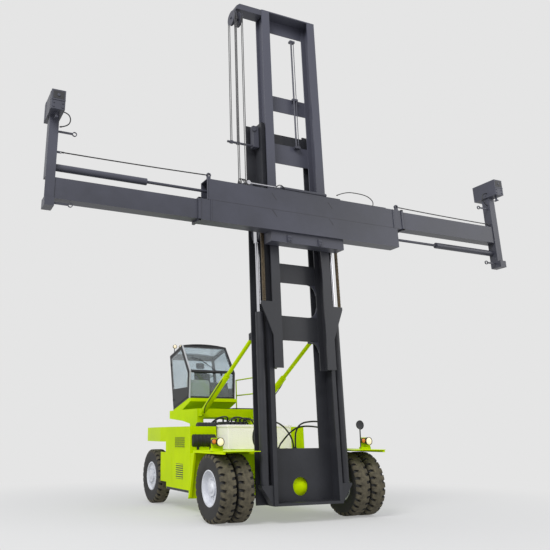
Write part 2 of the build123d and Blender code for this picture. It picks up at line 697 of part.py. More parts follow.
for side_name, side, low_z, strut_z in (("left", -1, low_box_z, high_box_z),
                                        ("right", 1, high_box_z, low_box_z)):
    beam_low = low_z + box_wall + beam_clearance
    beam_high = low_z + box_height - box_wall - beam_clearance
    end_x = side * pin_half_spacing
    with BuildPart() as beam:
        block(side * (box_short - beam_in), end_x, beam_front, beam_rear, beam_low, beam_high)
        block(side * (box_short - beam_in - overrun), end_x - side * post_half,
              beam_front + beam_wall, beam_rear - beam_wall,
              beam_low + beam_wall, beam_high - beam_wall, mode=Mode.SUBTRACT)
        for pad_low, pad_high in ((beam_low - beam_clearance + seat_gap, beam_low),
                                  (beam_high, beam_high + beam_clearance - seat_gap)):
            block(side * (box_short - beam_in), side * (box_short - beam_in + slide_pad),
                  beam_front + beam_wall, beam_rear - beam_wall, pad_low, pad_high)
    keep(beam, f"beam_{side_name}")

    with BuildPart() as end_post:
        block(end_x - post_half, end_x + post_half, spread_y, beam_front - seat_gap,
              post_foot_z, head_z)
        block(end_x - post_half, end_x + post_half, beam_front - seat_gap, post_rear,
              beam_high + seat_gap, head_z)
        block(end_x - post_half, end_x + post_half, beam_front - seat_gap, post_rear,
              post_foot_z, beam_low - seat_gap)
        block(end_x - post_half, end_x + post_half, pad_front, post_rear, post_foot_z,
              post_foot_z + pad_height)
        block(end_x - head_width / 2, end_x + head_width / 2, axle_y - head_front,
              axle_y - head_front + head_length, head_z, head_z + head_height)
    keep(end_post, f"end_post_{side_name}")

    with BuildPart() as strut:
        strut_mid_z = strut_z + box_height / 2
        strut_y = (spread_y + box_rear_y) / 2
        bar((end_x - side * (post_half + seat_gap), strut_y, strut_mid_z),
            (end_x - side * strut_length, strut_y, strut_mid_z), strut_radius)
        bar((end_x - side * strut_length, strut_y, strut_mid_z),
            (side * (box_short - strut_radius * 2), strut_y, strut_mid_z), strut_rod_radius)
    keep(strut, f"strut_{side_name}")

    with BuildPart() as twistlock:
        bar((end_x, lock_y, head_z - seat_gap), (end_x, lock_y, head_z - lock_length), lock_radius)
        block(end_x - lock_radius, end_x + lock_radius, lock_y - 2 * lock_radius,
              lock_y + 2 * lock_radius, head_z - lock_length - lock_radius, head_z - lock_length)
    keep(twistlock, f"twistlock_{side_name}")

# Tilt cylinders: barrels pinned to the platform, rods up to the mast
tilt_way = Vector(0, tilt_high_y - tilt_low_y, tilt_high_z - tilt_low_z)
tilt_length = tilt_way.length
tilt_unit = tilt_way.normalized()
tilt_barrel_share = 0.52
eye_neck_share = 0.8
tilt_barrel_radius = 75 * mm
tilt_bore = tilt_rod_radius + pin_clearance * 4

for side_name, side in sides:
    low_pin = Vector(side * tilt_x, tilt_low_y, tilt_low_z)
    high_pin = Vector(side * tilt_x, tilt_high_y, tilt_high_z)
    barrel_end = low_pin + tilt_unit * tilt_length * tilt_barrel_share
    with BuildPart() as barrel:
        bar(tuple(low_pin + tilt_unit * tilt_eye_radius * 2), tuple(barrel_end), tilt_barrel_radius)
        bar(tuple(low_pin), tuple(low_pin + tilt_unit * tilt_eye_radius * 2), tilt_eye_thick / 2)
        bar((side * tilt_x - tilt_eye_thick / 2, tilt_low_y, tilt_low_z),
            (side * tilt_x + tilt_eye_thick / 2, tilt_low_y, tilt_low_z), tilt_eye_radius)
        bar((side * tilt_x - tilt_eye_thick / 2, tilt_low_y, tilt_low_z),
            (side * tilt_x + tilt_eye_thick / 2, tilt_low_y, tilt_low_z),
            tilt_pin_radius + pin_clearance, mode=Mode.SUBTRACT)
        bar(tuple(low_pin + tilt_unit * 3 * tilt_eye_radius), tuple(barrel_end + tilt_unit * overrun),
            tilt_bore, mode=Mode.SUBTRACT)
    keep(barrel, f"tilt_barrel_{side_name}")

    with BuildPart() as rod:
        bar(tuple(barrel_end - tilt_unit * 4 * tilt_eye_radius),
            tuple(high_pin - tilt_unit * tilt_eye_radius * eye_neck_share), tilt_rod_radius)
        bar((side * tilt_x - tilt_eye_thick / 2, tilt_high_y, tilt_high_z),
            (side * tilt_x + tilt_eye_thick / 2, tilt_high_y, tilt_high_z), tilt_eye_radius)
        bar((side * tilt_x - tilt_pin_half, tilt_high_y, tilt_high_z),
            (side * tilt_x + tilt_pin_half, tilt_high_y, tilt_high_z),
            tilt_pin_radius + running_gap, mode=Mode.SUBTRACT)
    keep(rod, f"tilt_rod_{side_name}")
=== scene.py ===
"""Empty container handler: a twin-tyred truck with a raised cab, a two-stage mast and a side-lift spreader.

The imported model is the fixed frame. Each section dresses one piece of the machine, or one group of like
pieces. X runs across the machine, Y to its rear and Z up, all in metres. Places are given from the
drive axle.
"""
import math

import bmesh
import bpy
from mathutils import Matrix, Vector


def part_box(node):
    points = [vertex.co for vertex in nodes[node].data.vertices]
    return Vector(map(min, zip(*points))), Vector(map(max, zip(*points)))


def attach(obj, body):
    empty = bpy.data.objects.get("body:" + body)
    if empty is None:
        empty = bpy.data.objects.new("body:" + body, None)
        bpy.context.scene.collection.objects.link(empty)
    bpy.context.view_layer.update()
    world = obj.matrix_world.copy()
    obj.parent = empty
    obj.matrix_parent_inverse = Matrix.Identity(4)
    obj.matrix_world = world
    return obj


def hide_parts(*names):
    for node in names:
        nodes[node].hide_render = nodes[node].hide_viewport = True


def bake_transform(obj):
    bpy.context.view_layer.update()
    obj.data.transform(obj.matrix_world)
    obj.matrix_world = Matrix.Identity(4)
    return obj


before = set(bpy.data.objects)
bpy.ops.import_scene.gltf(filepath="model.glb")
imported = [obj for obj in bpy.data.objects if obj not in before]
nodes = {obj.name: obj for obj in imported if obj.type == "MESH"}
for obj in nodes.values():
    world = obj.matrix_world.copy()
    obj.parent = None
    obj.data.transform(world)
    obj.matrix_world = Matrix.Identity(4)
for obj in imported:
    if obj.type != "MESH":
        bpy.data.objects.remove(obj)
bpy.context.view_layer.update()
MM = 0.001
sides = (("left", -1), ("right", 1))

# Place of the machine: every later section measures from the drive axle and the height of the wheels'
# centres, which are read from the frame's own tyres.
drive_low, drive_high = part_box("drive_tyres_left")
steer_low, steer_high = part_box("steer_tyre_left")
axle_y = (drive_low.y + drive_high.y) / 2
steer_y = (steer_low.y + steer_high.y) / 2 - axle_y
wheel_z = (drive_low.z + drive_high.z) / 2
tyre_radius = drive_high.z - wheel_z


def at(x, y, z):
    """A place measured from the drive axle, as the frame has it."""
    return Vector((x, axle_y + y, z))


# Camera: it stands low at the front left corner and looks up the mast.
# The focal length and the shift are in pixels of the photograph's own square frame.
frame_px = 550
focal_px = 640.9
shift_px = (-80.0, -45.9)
camera_place = (-8.097, -13.09, 1.765)
yaw, pitch, roll = (math.radians(angle) for angle in (23.758, 17.75, -0.051))

camera_data = bpy.data.cameras.new("camera")
camera_data.sensor_width = 36
camera_data.lens = focal_px * camera_data.sensor_width / frame_px
camera_data.shift_x = -shift_px[0] / frame_px
camera_data.shift_y = shift_px[1] / frame_px
camera = bpy.data.objects.new("camera", camera_data)
bpy.context.scene.collection.objects.link(camera)
forward = Vector((math.sin(yaw) * math.cos(pitch), math.cos(yaw) * math.cos(pitch), math.sin(pitch)))
level_right = Vector((math.cos(yaw), -math.sin(yaw), 0))
level_up = level_right.cross(forward)
right = math.cos(roll) * level_right + math.sin(roll) * level_up
up = -math.sin(roll) * level_right + math.cos(roll) * level_up
camera.matrix_world = Matrix.Translation(at(*camera_place)) @ Matrix(
        (right, up, -forward)).transposed().to_4x4()
bpy.context.scene.camera = camera


# Truck body: welded steel plate in a lime enamel, sprayed and baked. The gloss is high and even,
# with a faint orange peel and a slightly duller tone where dust lies.
def linear(hex_colour):
    """A colour from its sRGB hex value."""
    channels = [int(hex_colour[i:i + 2], 16) / 255 for i in (1, 3, 5)]
    return [c / 12.92 if c <= 0.04045 else ((c + 0.055) / 1.055) ** 2.4 for c in channels] + [1.0]


def node(tree, kind, settings=None, **links):
    """Add one shader node, set its values and link its sockets; a socket's name has _ for a space."""
    made = tree.nodes.new(kind)
    for name, value in (settings or {}).items():
        if isinstance(name, str) and hasattr(made, name):
            setattr(made, name, value)
        else:
            made.inputs[name].default_value = value
    for name, source in links.items():
        socket = made.inputs[int(name[1:])] if name[0] == "_" else made.inputs[name.replace("_", " ")]
        tree.links.new(source, socket)
    return made


def surface(name, base, roughness, **sockets):
    """A material with one shader of that colour and roughness; returns the material and its shader."""
    material = bpy.data.materials.new(name)
    material.use_nodes = True
    shader = material.node_tree.nodes["Principled BSDF"]
    shader.inputs["Base Color"].default_value = linear(base)
    shader.inputs["Roughness"].default_value = roughness
    for socket, value in sockets.items():
        shader.inputs[socket.replace("_", " ")].default_value = value
    return material, shader


def mottled(name, base, roughness, pale, dark, size_mm, rough=None, bump_mm=0.0, stretch=(1, 1, 1),
            **sockets):
    """A material whose colour, roughness and relief vary over patches of a real size in millimetres."""
    material, shader = surface(name, base, roughness, **sockets)
    tree = material.node_tree
    place = node(tree, "ShaderNodeTexCoord")
    scale = node(tree, "ShaderNodeMapping", {"Scale": stretch}, Vector=place.outputs["Object"])
    noise = node(tree, "ShaderNodeTexNoise",
                 {"Scale": 1 / (size_mm * MM), "Detail": 6.0, "Roughness": 0.6}, Vector=scale.outputs[0])
    ramp = node(tree, "ShaderNodeValToRGB", Fac=noise.outputs["Fac"])
    ramp.color_ramp.elements[0].position, ramp.color_ramp.elements[1].position = 0.35, 0.7
    ramp.color_ramp.elements[0].color = linear(dark)
    ramp.color_ramp.elements[1].color = linear(pale)
    tree.links.new(ramp.outputs["Color"], shader.inputs["Base Color"])
    if rough:
        spread = node(tree, "ShaderNodeMapRange", {"To Min": rough[0], "To Max": rough[1]},
                      Value=noise.outputs["Fac"])
        tree.links.new(spread.outputs["Result"], shader.inputs["Roughness"])
    if bump_mm:
        relief = node(tree, "ShaderNodeBump", {"Distance": bump_mm * MM, "Strength": 0.6},
                      Height=noise.outputs["Fac"])
        tree.links.new(relief.outputs["Normal"], shader.inputs["Normal"])
    return material


def finish_with(material, *names):
    """Give CAD nodes that keep their own shape the finish of the real piece."""
    for name in names:
        mesh = nodes[name].data
        mesh.materials.clear()
        mesh.materials.append(material)


lime = mottled("lime_enamel", "#BEDA00", 0.36, "#C3DE00", "#B6D200", 900, rough=(0.28, 0.42), bump_mm=0.4,
               IOR=1.2, Specular_IOR_Level=0.1)
finish_with(lime, "chassis_frame", "counterweight", "platform", "handrails", "cab_cradle", "steer_axle",
            "drive_axle", "steer_knuckle_left", "steer_knuckle_right", "side_box_left", "side_box_right",
            "fender_left", "fender_right", "tilt_barrel_left", "tilt_barrel_right", "tilt_rod_left",
            "tilt_rod_right")

# Mast and spreader: welded mill plate under a charcoal enamel. It is satin, and reads a little blue where
# it faces the sky.
charcoal = mottled("charcoal_enamel", "#3C3D47", 0.42, "#41424D", "#36373F", 1400, rough=(0.34, 0.50),
                   bump_mm=0.5, Specular_IOR_Level=0.4)
finish_with(charcoal, "carriage", "spreader_box_low", "spreader_box_high", "chain_wheel_left",
            "chain_wheel_right", *[f"{piece}_{side}" for piece in ("beam", "end_post", "strut", "twistlock")
                                   for side, _ in sides])

# Outer mast and lift cylinders: rolled channels and honed tube under the same enamel, darkened near black
# here as painted shade, for the shade that fills the mast's channels.
painted_shade_charcoal = mottled("charcoal_enamel_painted_shade", "#2A2B2F", 0.45, "#2F3035", "#232428", 900,
                        rough=(0.36, 0.55), bump_mm=0.5, Specular_IOR_Level=0.35)
finish_with(painted_shade_charcoal, "outer_mast", "lift_barrel_left", "lift_barrel_right")

# Inner mast: rolled channels under the same enamel, painted lighter where they stand above the carriage
# and darker lower down as painted shade, as dark as the outer mast.
low_shade_enamel, low_shade_bsdf = surface("charcoal_enamel_shaded_low", "#3C3D47", 0.42, Specular_IOR_Level=0.4)
low_shade_nodes = low_shade_enamel.node_tree
low_shade_height = node(low_shade_nodes, "ShaderNodeSeparateXYZ",
                   Vector=node(low_shade_nodes, "ShaderNodeTexCoord").outputs["Object"])
low_shade_share = node(low_shade_nodes, "ShaderNodeMapRange", {"From Min": 5.0, "From Max": 8.5},
                  Value=low_shade_height.outputs["Z"])
# Painted shade and light: dark at and below 5 m, rising to a tone lighter than the enamel at 8.5 m and
# above.
low_shade_ramp = node(low_shade_nodes, "ShaderNodeValToRGB", Fac=low_shade_share.outputs["Result"])
low_shade_ramp.color_ramp.elements[0].color = linear("#2A2B2F")
low_shade_ramp.color_ramp.elements[1].color = linear("#444550")
low_shade_nodes.links.new(low_shade_ramp.outputs["Color"], low_shade_bsdf.inputs["Base Color"])
finish_with(low_shade_enamel, "inner_mast")

# Lift rods: ground steel bar with a hard chrome plate, which mirrors the pale surroundings. Faint streaks
# run along it, the way it slides through its seals.
chrome = mottled("hard_chrome", "#D8D8DC", 0.16, "#DCDCE0", "#C4C4CA", 300, rough=(0.12, 0.22),
                 stretch=(1, 1, 0.1), Metallic=1.0)
finish_with(chrome, "lift_rod_left", "lift_rod_right")

# Cab door, side panel, walkway and engine: steel sheet and castings under a black powder coat, baked to
# a fine even grain.
black_coat = mottled("black_powder_coat", "#1D1D20", 0.5, "#242428", "#17171A", 120, rough=(0.42, 0.6),
                     bump_mm=0.3)
finish_with(black_coat, "cab_door", "cab_side_panel", "walkway", "engine_block")


# Tyres: bias-ply road tyres with deep staggered shoulder lugs, moulded in black rubber.
# The tread's running faces are worn brown and dusty, while the side walls stay black.
tyre_width = 360 * MM
lug_count = 27
lug_skew_deg = 3.5
groove_width_deg = 4.2
groove_flank_deg = 0.35
# Each row: share of the half width, radius as a share of the tyre's, and depth of the groove there in
# millimetres.
tread_profile = ((0.86, 0.532, 0), (0.955, 0.598, 0), (1.0, 0.655, 0), (1.0, 0.80, 0), (0.99, 0.885, 5),
                 (0.94, 0.948, 28), (0.86, 0.982, 42), (0.78, 0.996, 46), (0.46, 1.0, 46), (0.38, 1.0, 0))

rubber = mottled("tyre_rubber", "#242322", 0.72, "#2C2B29", "#1B1A1A", 220, rough=(0.62, 0.82),
                 bump_mm=1.5)
tread_rubber = mottled("dusty_tread_rubber", "#565143", 0.9, "#615B4B", "#423E34", 90, rough=(0.78, 0.92),
                       bump_mm=1.5, Specular_IOR_Level=0.2)


def piece(name, bm, material, body, slot, bevel_mm=0.0, sharp_deg=35):
    """Turn a built shape into one piece of the machine that moves with a body."""
    mesh = bpy.data.meshes.new(name)
    bmesh.ops.recalc_face_normals(bm, faces=bm.faces)
    bm.to_mesh(mesh)
    bm.free()
    for finish in material if isinstance(material, tuple) else (material,):
        mesh.materials.append(finish)
    mesh.shade_smooth()
    mesh.set_sharp_from_angle(angle=math.radians(sharp_deg))
    made = bpy.data.objects.new(name, mesh)
    bpy.context.scene.collection.objects.link(made)
    if bevel_mm:
        rounding = made.modifiers.new("edges", "BEVEL")
        rounding.width, rounding.segments, rounding.limit_method = bevel_mm * MM, 2, "ANGLE"
        rounding.harden_normals = True
    if body:
        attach(made, body)
    return made


def tyre(bm, centre_x, centre_y):
    """One tyre: the profile turned about the axle, lowered where a shoulder groove crosses it."""
    mirrored = [(-share, radius, depth) for share, radius, depth in tread_profile]
    profile = mirrored + list(reversed(tread_profile))
    pitch = 360 / lug_count
    rings = []
    for index in range(2 * lug_count):
        middle = index * pitch / 2
        for edge, inside in ((-1, False), (-1, True), (1, True), (1, False)):
            angle = middle + edge * (groove_width_deg / 2
                                     + (-groove_flank_deg if inside else groove_flank_deg))
            ring = []
            for share, radius_share, depth in profile:
                grooved = inside and (share < 0) == (index % 2 == 0)
                radius = radius_share * tyre_radius - (depth * MM if grooved else 0)
                turn = math.radians(angle + lug_skew_deg * min(abs(share), 0.86))
                ring.append(bm.verts.new(at(centre_x + share * tyre_width / 2,
                                            centre_y + radius * math.sin(turn),
                                            wheel_z + radius * math.cos(turn))))
            rings.append(ring)
    tread_from = 4
    for row, (this, following) in enumerate(zip(rings, rings[1:] + rings[:1])):
        for i in range(len(profile)):
            j = (i + 1) % len(profile)
            face = bm.faces.new((this[i], this[j], following[j], following[i]))
            worn = j > 0 and tread_from < j < len(profile) - tread_from
            groove = row % 4 != 3 and profile[i][2] and profile[j][2] and (
                    profile[i][0] < 0) == (row // 4 % 2 == 0)
            face.material_index = int(worn and not groove)


drive_outer = drive_low.x
for side, sign in sides:
    outer_centre = sign * (abs(drive_outer) - tyre_width / 2)
    inner_centre = sign * (abs(drive_high.x) + tyre_width / 2)
    tyres = bmesh.new()
    tyre(tyres, outer_centre, 0)
    tyre(tyres, inner_centre, 0)
    made = piece(f"drive_tread_{side}", tyres, (rubber, tread_rubber), f"drive_wheel_{side}", "tyre",
                 sharp_deg=28)
    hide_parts(f"drive_tyres_{side}")
    tyres = bmesh.new()
    tyre(tyres, sign * (abs(steer_low.x) - tyre_width / 2), steer_y)
    made = piece(f"steer_tread_{side}", tyres, (rubber, tread_rubber), f"steer_wheel_{side}", "tyre",
                 sharp_deg=28)
    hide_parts(f"steer_tyre_{side}")


# Rims: pressed steel in a pale grey enamel, with a domed hub and a ring of wheel nuts on studs.
# The drive rims are deeply dished, and the steered ones stand nearly flush.
rim_enamel = mottled("pale_grey_enamel", "#CFD1D6", 0.4, "#D8DADE", "#BDBFC6", 180, rough=(0.32, 0.5),
                     bump_mm=0.4)
finish_with(rim_enamel, "drive_rims_left", "drive_rims_right", "steer_rim_left", "steer_rim_right")


def turned(bm, centre, axis, profile, turns=32, closed=False):
    """A turned piece: (distance along the axis, radius) pairs swept round it."""
    axis = Vector(axis).normalized()
    across = axis.orthogonal().normalized()
    other = axis.cross(across)
    rings = []
    for along, radius in profile:
        middle = centre + along * axis
        if radius == 0:
            rings.append([bm.verts.new(middle)] * turns)
            continue
        angles = [2 * math.pi * i / turns for i in range(turns)]
        rings.append([bm.verts.new(middle + radius * (math.cos(a) * across + math.sin(a) * other))
                      for a in angles])
    if closed:
        rings.append(rings[0])
    for low, high in zip(rings, rings[1:]):
        for i in range(turns):
            j = (i + 1) % turns
            corners = list(dict.fromkeys((low[i], low[j], high[j], high[i])))
            if len(corners) > 2:
                bm.faces.new(corners)


def bar(bm, start, end, radius, turns=16):
    """A round bar with lightly chamfered ends."""
    start, end = at(*start), at(*end)
    length, chamfer = (end - start).length, radius * 0.2
    turned(bm, start, end - start,
           ((0, 0), (0, radius - chamfer), (chamfer, radius), (length - chamfer, radius),
            (length, radius - chamfer), (length, 0)), turns)


# Each row: rim, body, distance of the disc's face from the middle, wheel centre from the drive axle, number
# of nuts and the hub's reach.
drive_disc, steer_disc = abs(drive_outer) - 138 * MM, abs(steer_low.x) - 63 * MM
for kind, body, disc_x, centre_y, nuts, hub_reach in (
        ("drive", "drive_wheel", drive_disc, 0, 12, 75 * MM),
        ("steer", "steer_wheel", steer_disc, steer_y, 10, 52 * MM)):
    for side, sign in sides:
        fittings = bmesh.new()
        centre = at(sign * disc_x, centre_y, wheel_z)
        out = (sign, 0, 0)
        turned(fittings, centre, out,
               ((0, 0.150), (hub_reach * 0.6, 0.128), (hub_reach * 0.75, 0.095), (hub_reach, 0.085),
                (hub_reach + 4 * MM, 0.07), (hub_reach + 4 * MM, 0)), 40)
        for i in range(nuts):
            turn = 2 * math.pi * i / nuts
            seat = centre + Vector((0, 0.196 * math.cos(turn), 0.196 * math.sin(turn)))
            turned(fittings, seat, out,
                   ((0, 0.024), (5 * MM, 0.024), (6 * MM, 0.017), (26 * MM, 0.016), (28 * MM, 0.009),
                    (40 * MM, 0.008), (40 * MM, 0)), 6)
        lock_ring = ((0.104, 0.352), (0.112, 0.349), (0.112, 0.337), (0.10, 0.331), (0.0, 0.318),
                     (0.0, 0.345))
        reach = (abs(drive_outer) - disc_x) / 0.138 * 0.85 if kind == "drive" else 0.42
        turned(fittings, centre, out, [(along * reach, radius) for along, radius in lock_ring], 64,
               closed=True)
        piece(f"{kind}_hub_{side}", fittings, rim_enamel, f"{body}_{side}", "rim_paint")


# Lift chains: leaf chain of oiled spring steel, brown with grease, pressed in leaves on cross pins. It is
# fixed to the outer mast's cross member, over the chain wheels and down to the carriage.
chain_steel = mottled("oiled_chain_steel", "#5E5340", 0.45, "#766750", "#3B3428", 40, rough=(0.35, 0.6),
                      Metallic=0.5)
finish_with(chain_steel, "lift_chain_left", "lift_chain_right")


def block(bm, low, high, finish=0):
    """A box between two corners."""
    low, high = at(*low), at(*high)
    middle, size = (low + high) / 2, high - low
    made = bmesh.ops.create_cube(bm, size=1)["verts"]
    for vert in made:
        vert.co = middle + Vector((vert.co.x * size.x, vert.co.y * size.y, vert.co.z * size.z))
    for face in {face for vert in made for face in vert.link_faces}:
        face.material_index = finish


link_pitch = 42 * MM
for side, sign in sides:
    low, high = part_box(f"lift_chain_{side}")
    links = bmesh.new()
    rows = int((high.z - low.z) / link_pitch)
    for row in range(rows):
        z = low.z + (row + 0.5) * link_pitch
        bar(links, (low.x - 3 * MM, low.y - axle_y - 2 * MM, z),
            (high.x + 3 * MM, low.y - axle_y - 2 * MM, z), 7 * MM, 10)
        for leaf in range(5):
            x = low.x + (leaf + 0.5 * (row % 2)) * (high.x - low.x) / 5
            block(links, (x, low.y - axle_y - 9 * MM, z - 0.42 * link_pitch),
                  (x + 6 * MM, low.y - axle_y + 2 * MM, z + 0.42 * link_pitch))
    piece(f"chain_leaves_{side}", links, chain_steel, "inner_mast", "chain_steel")

# Side boxes: folded lime sheet doors over the tank and the cooler, with a louvred vent and a mesh grille
# on the left.
# The doors stand a sheet's thickness proud, and a black sheet behind each vent is painted shade in its
# openings.
door_proud = 5 * MM
box_face = abs(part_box("side_box_left")[0].x)


def prism(bm, outline, start, end, axis, finish=0):
    """A plate: an outline in the other two coordinates, drawn out along X (0), Y (1) or Z (2)."""
    ends = []
    for along in (start, end):
        places = [pair[:axis] + (along,) + pair[axis:] for pair in outline]
        ends.append([bm.verts.new(at(*place)) for place in places])
    faces = [bm.faces.new(ends[0]), bm.faces.new(ends[1][::-1])]
    faces += [bm.faces.new((ends[0][i], ends[0][i - 1], ends[1][i - 1], ends[1][i]))
              for i in range(len(outline))]
    for face in faces:
        face.material_index = finish


for side, sign in sides:
    doors = bmesh.new()
    for low_y, high_y, low_z, high_z in ((1.90, 3.06, 0.57, 1.32), (3.10, 3.90, 0.60, 1.32)):
        near, far = sorted((sign * (box_face - 1 * MM), sign * (box_face + door_proud)))
        block(doors, (near, low_y, low_z), (far, high_y, high_z))
    piece(f"side_doors_{side}", doors, lime, "chassis", "lime_paint", bevel_mm=4)

louvre_y, louvre_z, slats = (2.36, 2.82), (0.72, 1.07), 7
vent = bmesh.new()
# Painted shade: a black sheet behind the slats, for the shade inside the vent.
block(vent, (-box_face - door_proud - 1 * MM, louvre_y[0], louvre_z[0]),
      (-box_face - door_proud + 1 * MM, louvre_y[1], louvre_z[1]), 1)
step_z = (louvre_z[1] - louvre_z[0]) / slats
for slat in range(slats):
    z = louvre_z[0] + slat * step_z
    prism(vent,
          ((-box_face - door_proud, z + 0.50 * step_z), (-box_face - door_proud, z + 0.75 * step_z),
           (-box_face - door_proud - 14 * MM, z + 0.4 * step_z),
           (-box_face - door_proud - 14 * MM, z + 0.25 * step_z)), louvre_y[0], louvre_y[1], 1)
piece("louvred_vent", vent, (lime, black_coat), "chassis", "lime_paint")

grille_y, grille_z = (2.26, 2.90), (1.45, 1.70)
mesh_grille = bmesh.new()
# Painted shade: a black sheet behind the mesh, for the shade inside the grille.
block(mesh_grille, (-box_face - 2 * MM, grille_y[0], grille_z[0]),
      (-box_face + 1 * MM, grille_y[1], grille_z[1]), 1)
for count, axis in ((12, 1), (5, 2)):
    for i in range(count + 1):
        low, high = [-box_face - 7 * MM, grille_y[0],
                     grille_z[0]], [-box_face - 1 * MM, grille_y[1], grille_z[1]]
        middle = low[axis] + (high[axis] - low[axis]) * i / count
        low[axis], high[axis] = middle - 6 * MM, middle + 6 * MM
        block(mesh_grille, low, high)
piece("mesh_grille", mesh_grille, (lime, black_coat), "chassis", "lime_paint")


# Sill: a black steel strip along the foot of each side box, folded from sheet and bolted under the
# doors. It takes the knocks.
for side, sign in sides:
    sill = bmesh.new()
    near, far = sorted((sign * (box_face - 30 * MM), sign * (box_face + 3 * MM)))
    block(sill, (near, 1.12, 0.435), (far, 3.46, 0.49))
    piece(f"sill_{side}", sill, black_coat, "chassis", "black_paint", bevel_mm=4)

# Hood box: bright aluminium tread plate, folded over the hydraulic tank. Its raised lozenges are about
# 45 mm apart, and the lid has a lip all round.
plate, plate_shader = surface("tread_plate_aluminium", "#FFF8FC", 0.34, Metallic=0.1)
plate_place = node(plate.node_tree, "ShaderNodeTexCoord")
lozenges = node(plate.node_tree, "ShaderNodeTexVoronoi", {"Scale": 1 / (45 * MM)},
                Vector=plate_place.outputs["Object"])
raised = node(plate.node_tree, "ShaderNodeMapRange",
              {"From Min": 0.2, "From Max": 0.35, "To Min": 1.0, "To Max": 0.0},
              Value=lozenges.outputs["Distance"])
plate_relief = node(plate.node_tree, "ShaderNodeBump", {"Distance": 3 * MM, "Strength": 0.9},
                    Height=raised.outputs["Result"])
plate.node_tree.links.new(plate_relief.outputs["Normal"], plate_shader.inputs["Normal"])
hood = bmesh.new()
block(hood, (-0.88, 1.35, 1.42), (0.88, 2.10, 1.97))
block(hood, (-0.90, 1.33, 1.93), (0.90, 2.12, 1.985))
piece("hood_box", hood, plate, "chassis", "black_paint", bevel_mm=10)


# Air cleaner: a moulded black drum and its intake pipe, strapped on the left of the hood box.
drums = bmesh.new()
for centre, length, radius in (((-1.58, 2.0, 1.62), 0.64, 0.165), ((-1.40, 2.02, 1.95), 0.50, 0.095)):
    ribs = [(0, 0), (0, radius * 0.8), (0.02, radius)]
    for rib in range(1, 6):
        along = length * rib / 6
        ribs += [(along - 0.012, radius), (along - 0.006, radius * 1.05), (along + 0.006, radius * 1.05),
                 (along + 0.012, radius)]
    ribs += [(length - 0.02, radius), (length, radius * 0.8), (length, 0)]
    turned(drums, at(*centre), (1, 0, 0), ribs, 36)
for x in (-1.42, -1.08):
    block(drums, (x - 0.03, 1.90, 1.40), (x + 0.03, 2.10, 1.50))
    block(drums, (x - 0.02, 1.98, 1.70), (x + 0.02, 2.06, 1.90))
piece("air_cleaner", drums, black_coat, "chassis", "black_paint", bevel_mm=3)


# Hydraulic valve and hoses: a black valve block behind the hood box, and rubber hoses with crimped ends.
# The hoses stand in their own arcs between fittings, because the wire braid inside is stiff.
hose_rubber = mottled("hose_rubber", "#1C1C1E", 0.48, "#232326", "#161618", 80, rough=(0.4, 0.58))


def hose(name, points, radius, body=None, ends=(True, True), finish=None, slot="black_paint"):
    """A mesh tube along one smooth curve, with a crimped sleeve at each named end."""
    curve = bpy.data.curves.new(name, "CURVE")
    curve.dimensions, curve.resolution_u = "3D", 10
    spline = curve.splines.new("NURBS")
    spline.points.add(len(points) - 1)
    for control, place in zip(spline.points, points):
        control.co = (*at(*place), 1)
    spline.order_u, spline.use_endpoint_u = 3, True
    curve.bevel_depth, curve.bevel_resolution, curve.use_fill_caps = radius, 3, True
    guide = bpy.data.objects.new(name, curve)
    shape = bmesh.new()
    run = bpy.data.meshes.new_from_object(guide)
    shape.from_mesh(run)
    bpy.data.objects.remove(guide)
    bpy.data.meshes.remove(run)
    for shown, place, towards in ((ends[0], points[0], points[1]), (ends[1], points[-1], points[-2])):
        if shown:
            start = Vector(place)
            sleeve = (Vector(towards) - start).normalized() * min(4 * radius, 0.06)
            bar(shape, start, start + sleeve, radius * 1.35, 12)
    return piece(name, shape, finish or hose_rubber, body, slot)


valve = bmesh.new()
block(valve, (-0.62, 2.28, 1.80), (0.10, 2.52, 2.02))
for section in range(6):
    x = -0.58 + 0.12 * section
    block(valve, (x, 2.24, 1.84), (x + 0.08, 2.56, 2.07))
    bar(valve, (x + 0.04, 2.30, 2.05), (x + 0.04, 2.30, 2.13), 0.022)
block(valve, (-0.66, 2.2, 1.42), (-0.5, 2.6, 1.82))
block(valve, (-0.06, 2.2, 1.42), (0.1, 2.6, 1.82))
piece("valve_block", valve, black_coat, "chassis", "black_paint", bevel_mm=4)
# Each route starts at a section of the valve and lies over its neighbours on the way to the frame.
valve_routes = (((-0.54, 2.30, 2.10), (-0.54, 2.26, 2.17), (-0.70, 2.20, 2.16), (-0.92, 2.24, 2.02),
                 (-1.02, 2.34, 1.80)),
                ((-0.42, 2.30, 2.10), (-0.42, 2.24, 2.18), (-0.60, 2.12, 2.20), (-0.86, 2.10, 2.14),
                 (-1.00, 2.20, 1.96)),
                ((-0.30, 2.30, 2.10), (-0.30, 2.26, 2.18), (-0.12, 2.16, 2.19), (0.10, 2.20, 2.10),
                 (0.24, 2.34, 1.90)),
                ((-0.18, 2.30, 2.10), (-0.18, 2.24, 2.15), (-0.32, 2.14, 2.15), (-0.52, 2.06, 2.08),
                 (-0.60, 2.04, 1.985)),
                ((-0.06, 2.30, 2.10), (-0.06, 2.26, 2.16), (0.12, 2.18, 2.16), (0.34, 2.30, 2.08),
                 (0.50, 2.50, 1.84)),
                ((0.06, 2.30, 2.10), (0.06, 2.24, 2.14), (0.22, 2.10, 2.12), (0.40, 2.04, 2.06),
                 (0.46, 2.04, 1.985)))
for number, route in enumerate(valve_routes):
    hose(f"valve_hose_{number}", route, 0.016, "chassis")
hose("cooler_hose",
     ((-0.96, 2.04, 1.95), (-0.86, 2.06, 2.02), (-0.80, 2.22, 2.10), (-0.70, 2.40, 2.02),
      (-0.62, 2.42, 1.93)), 0.035, "chassis")
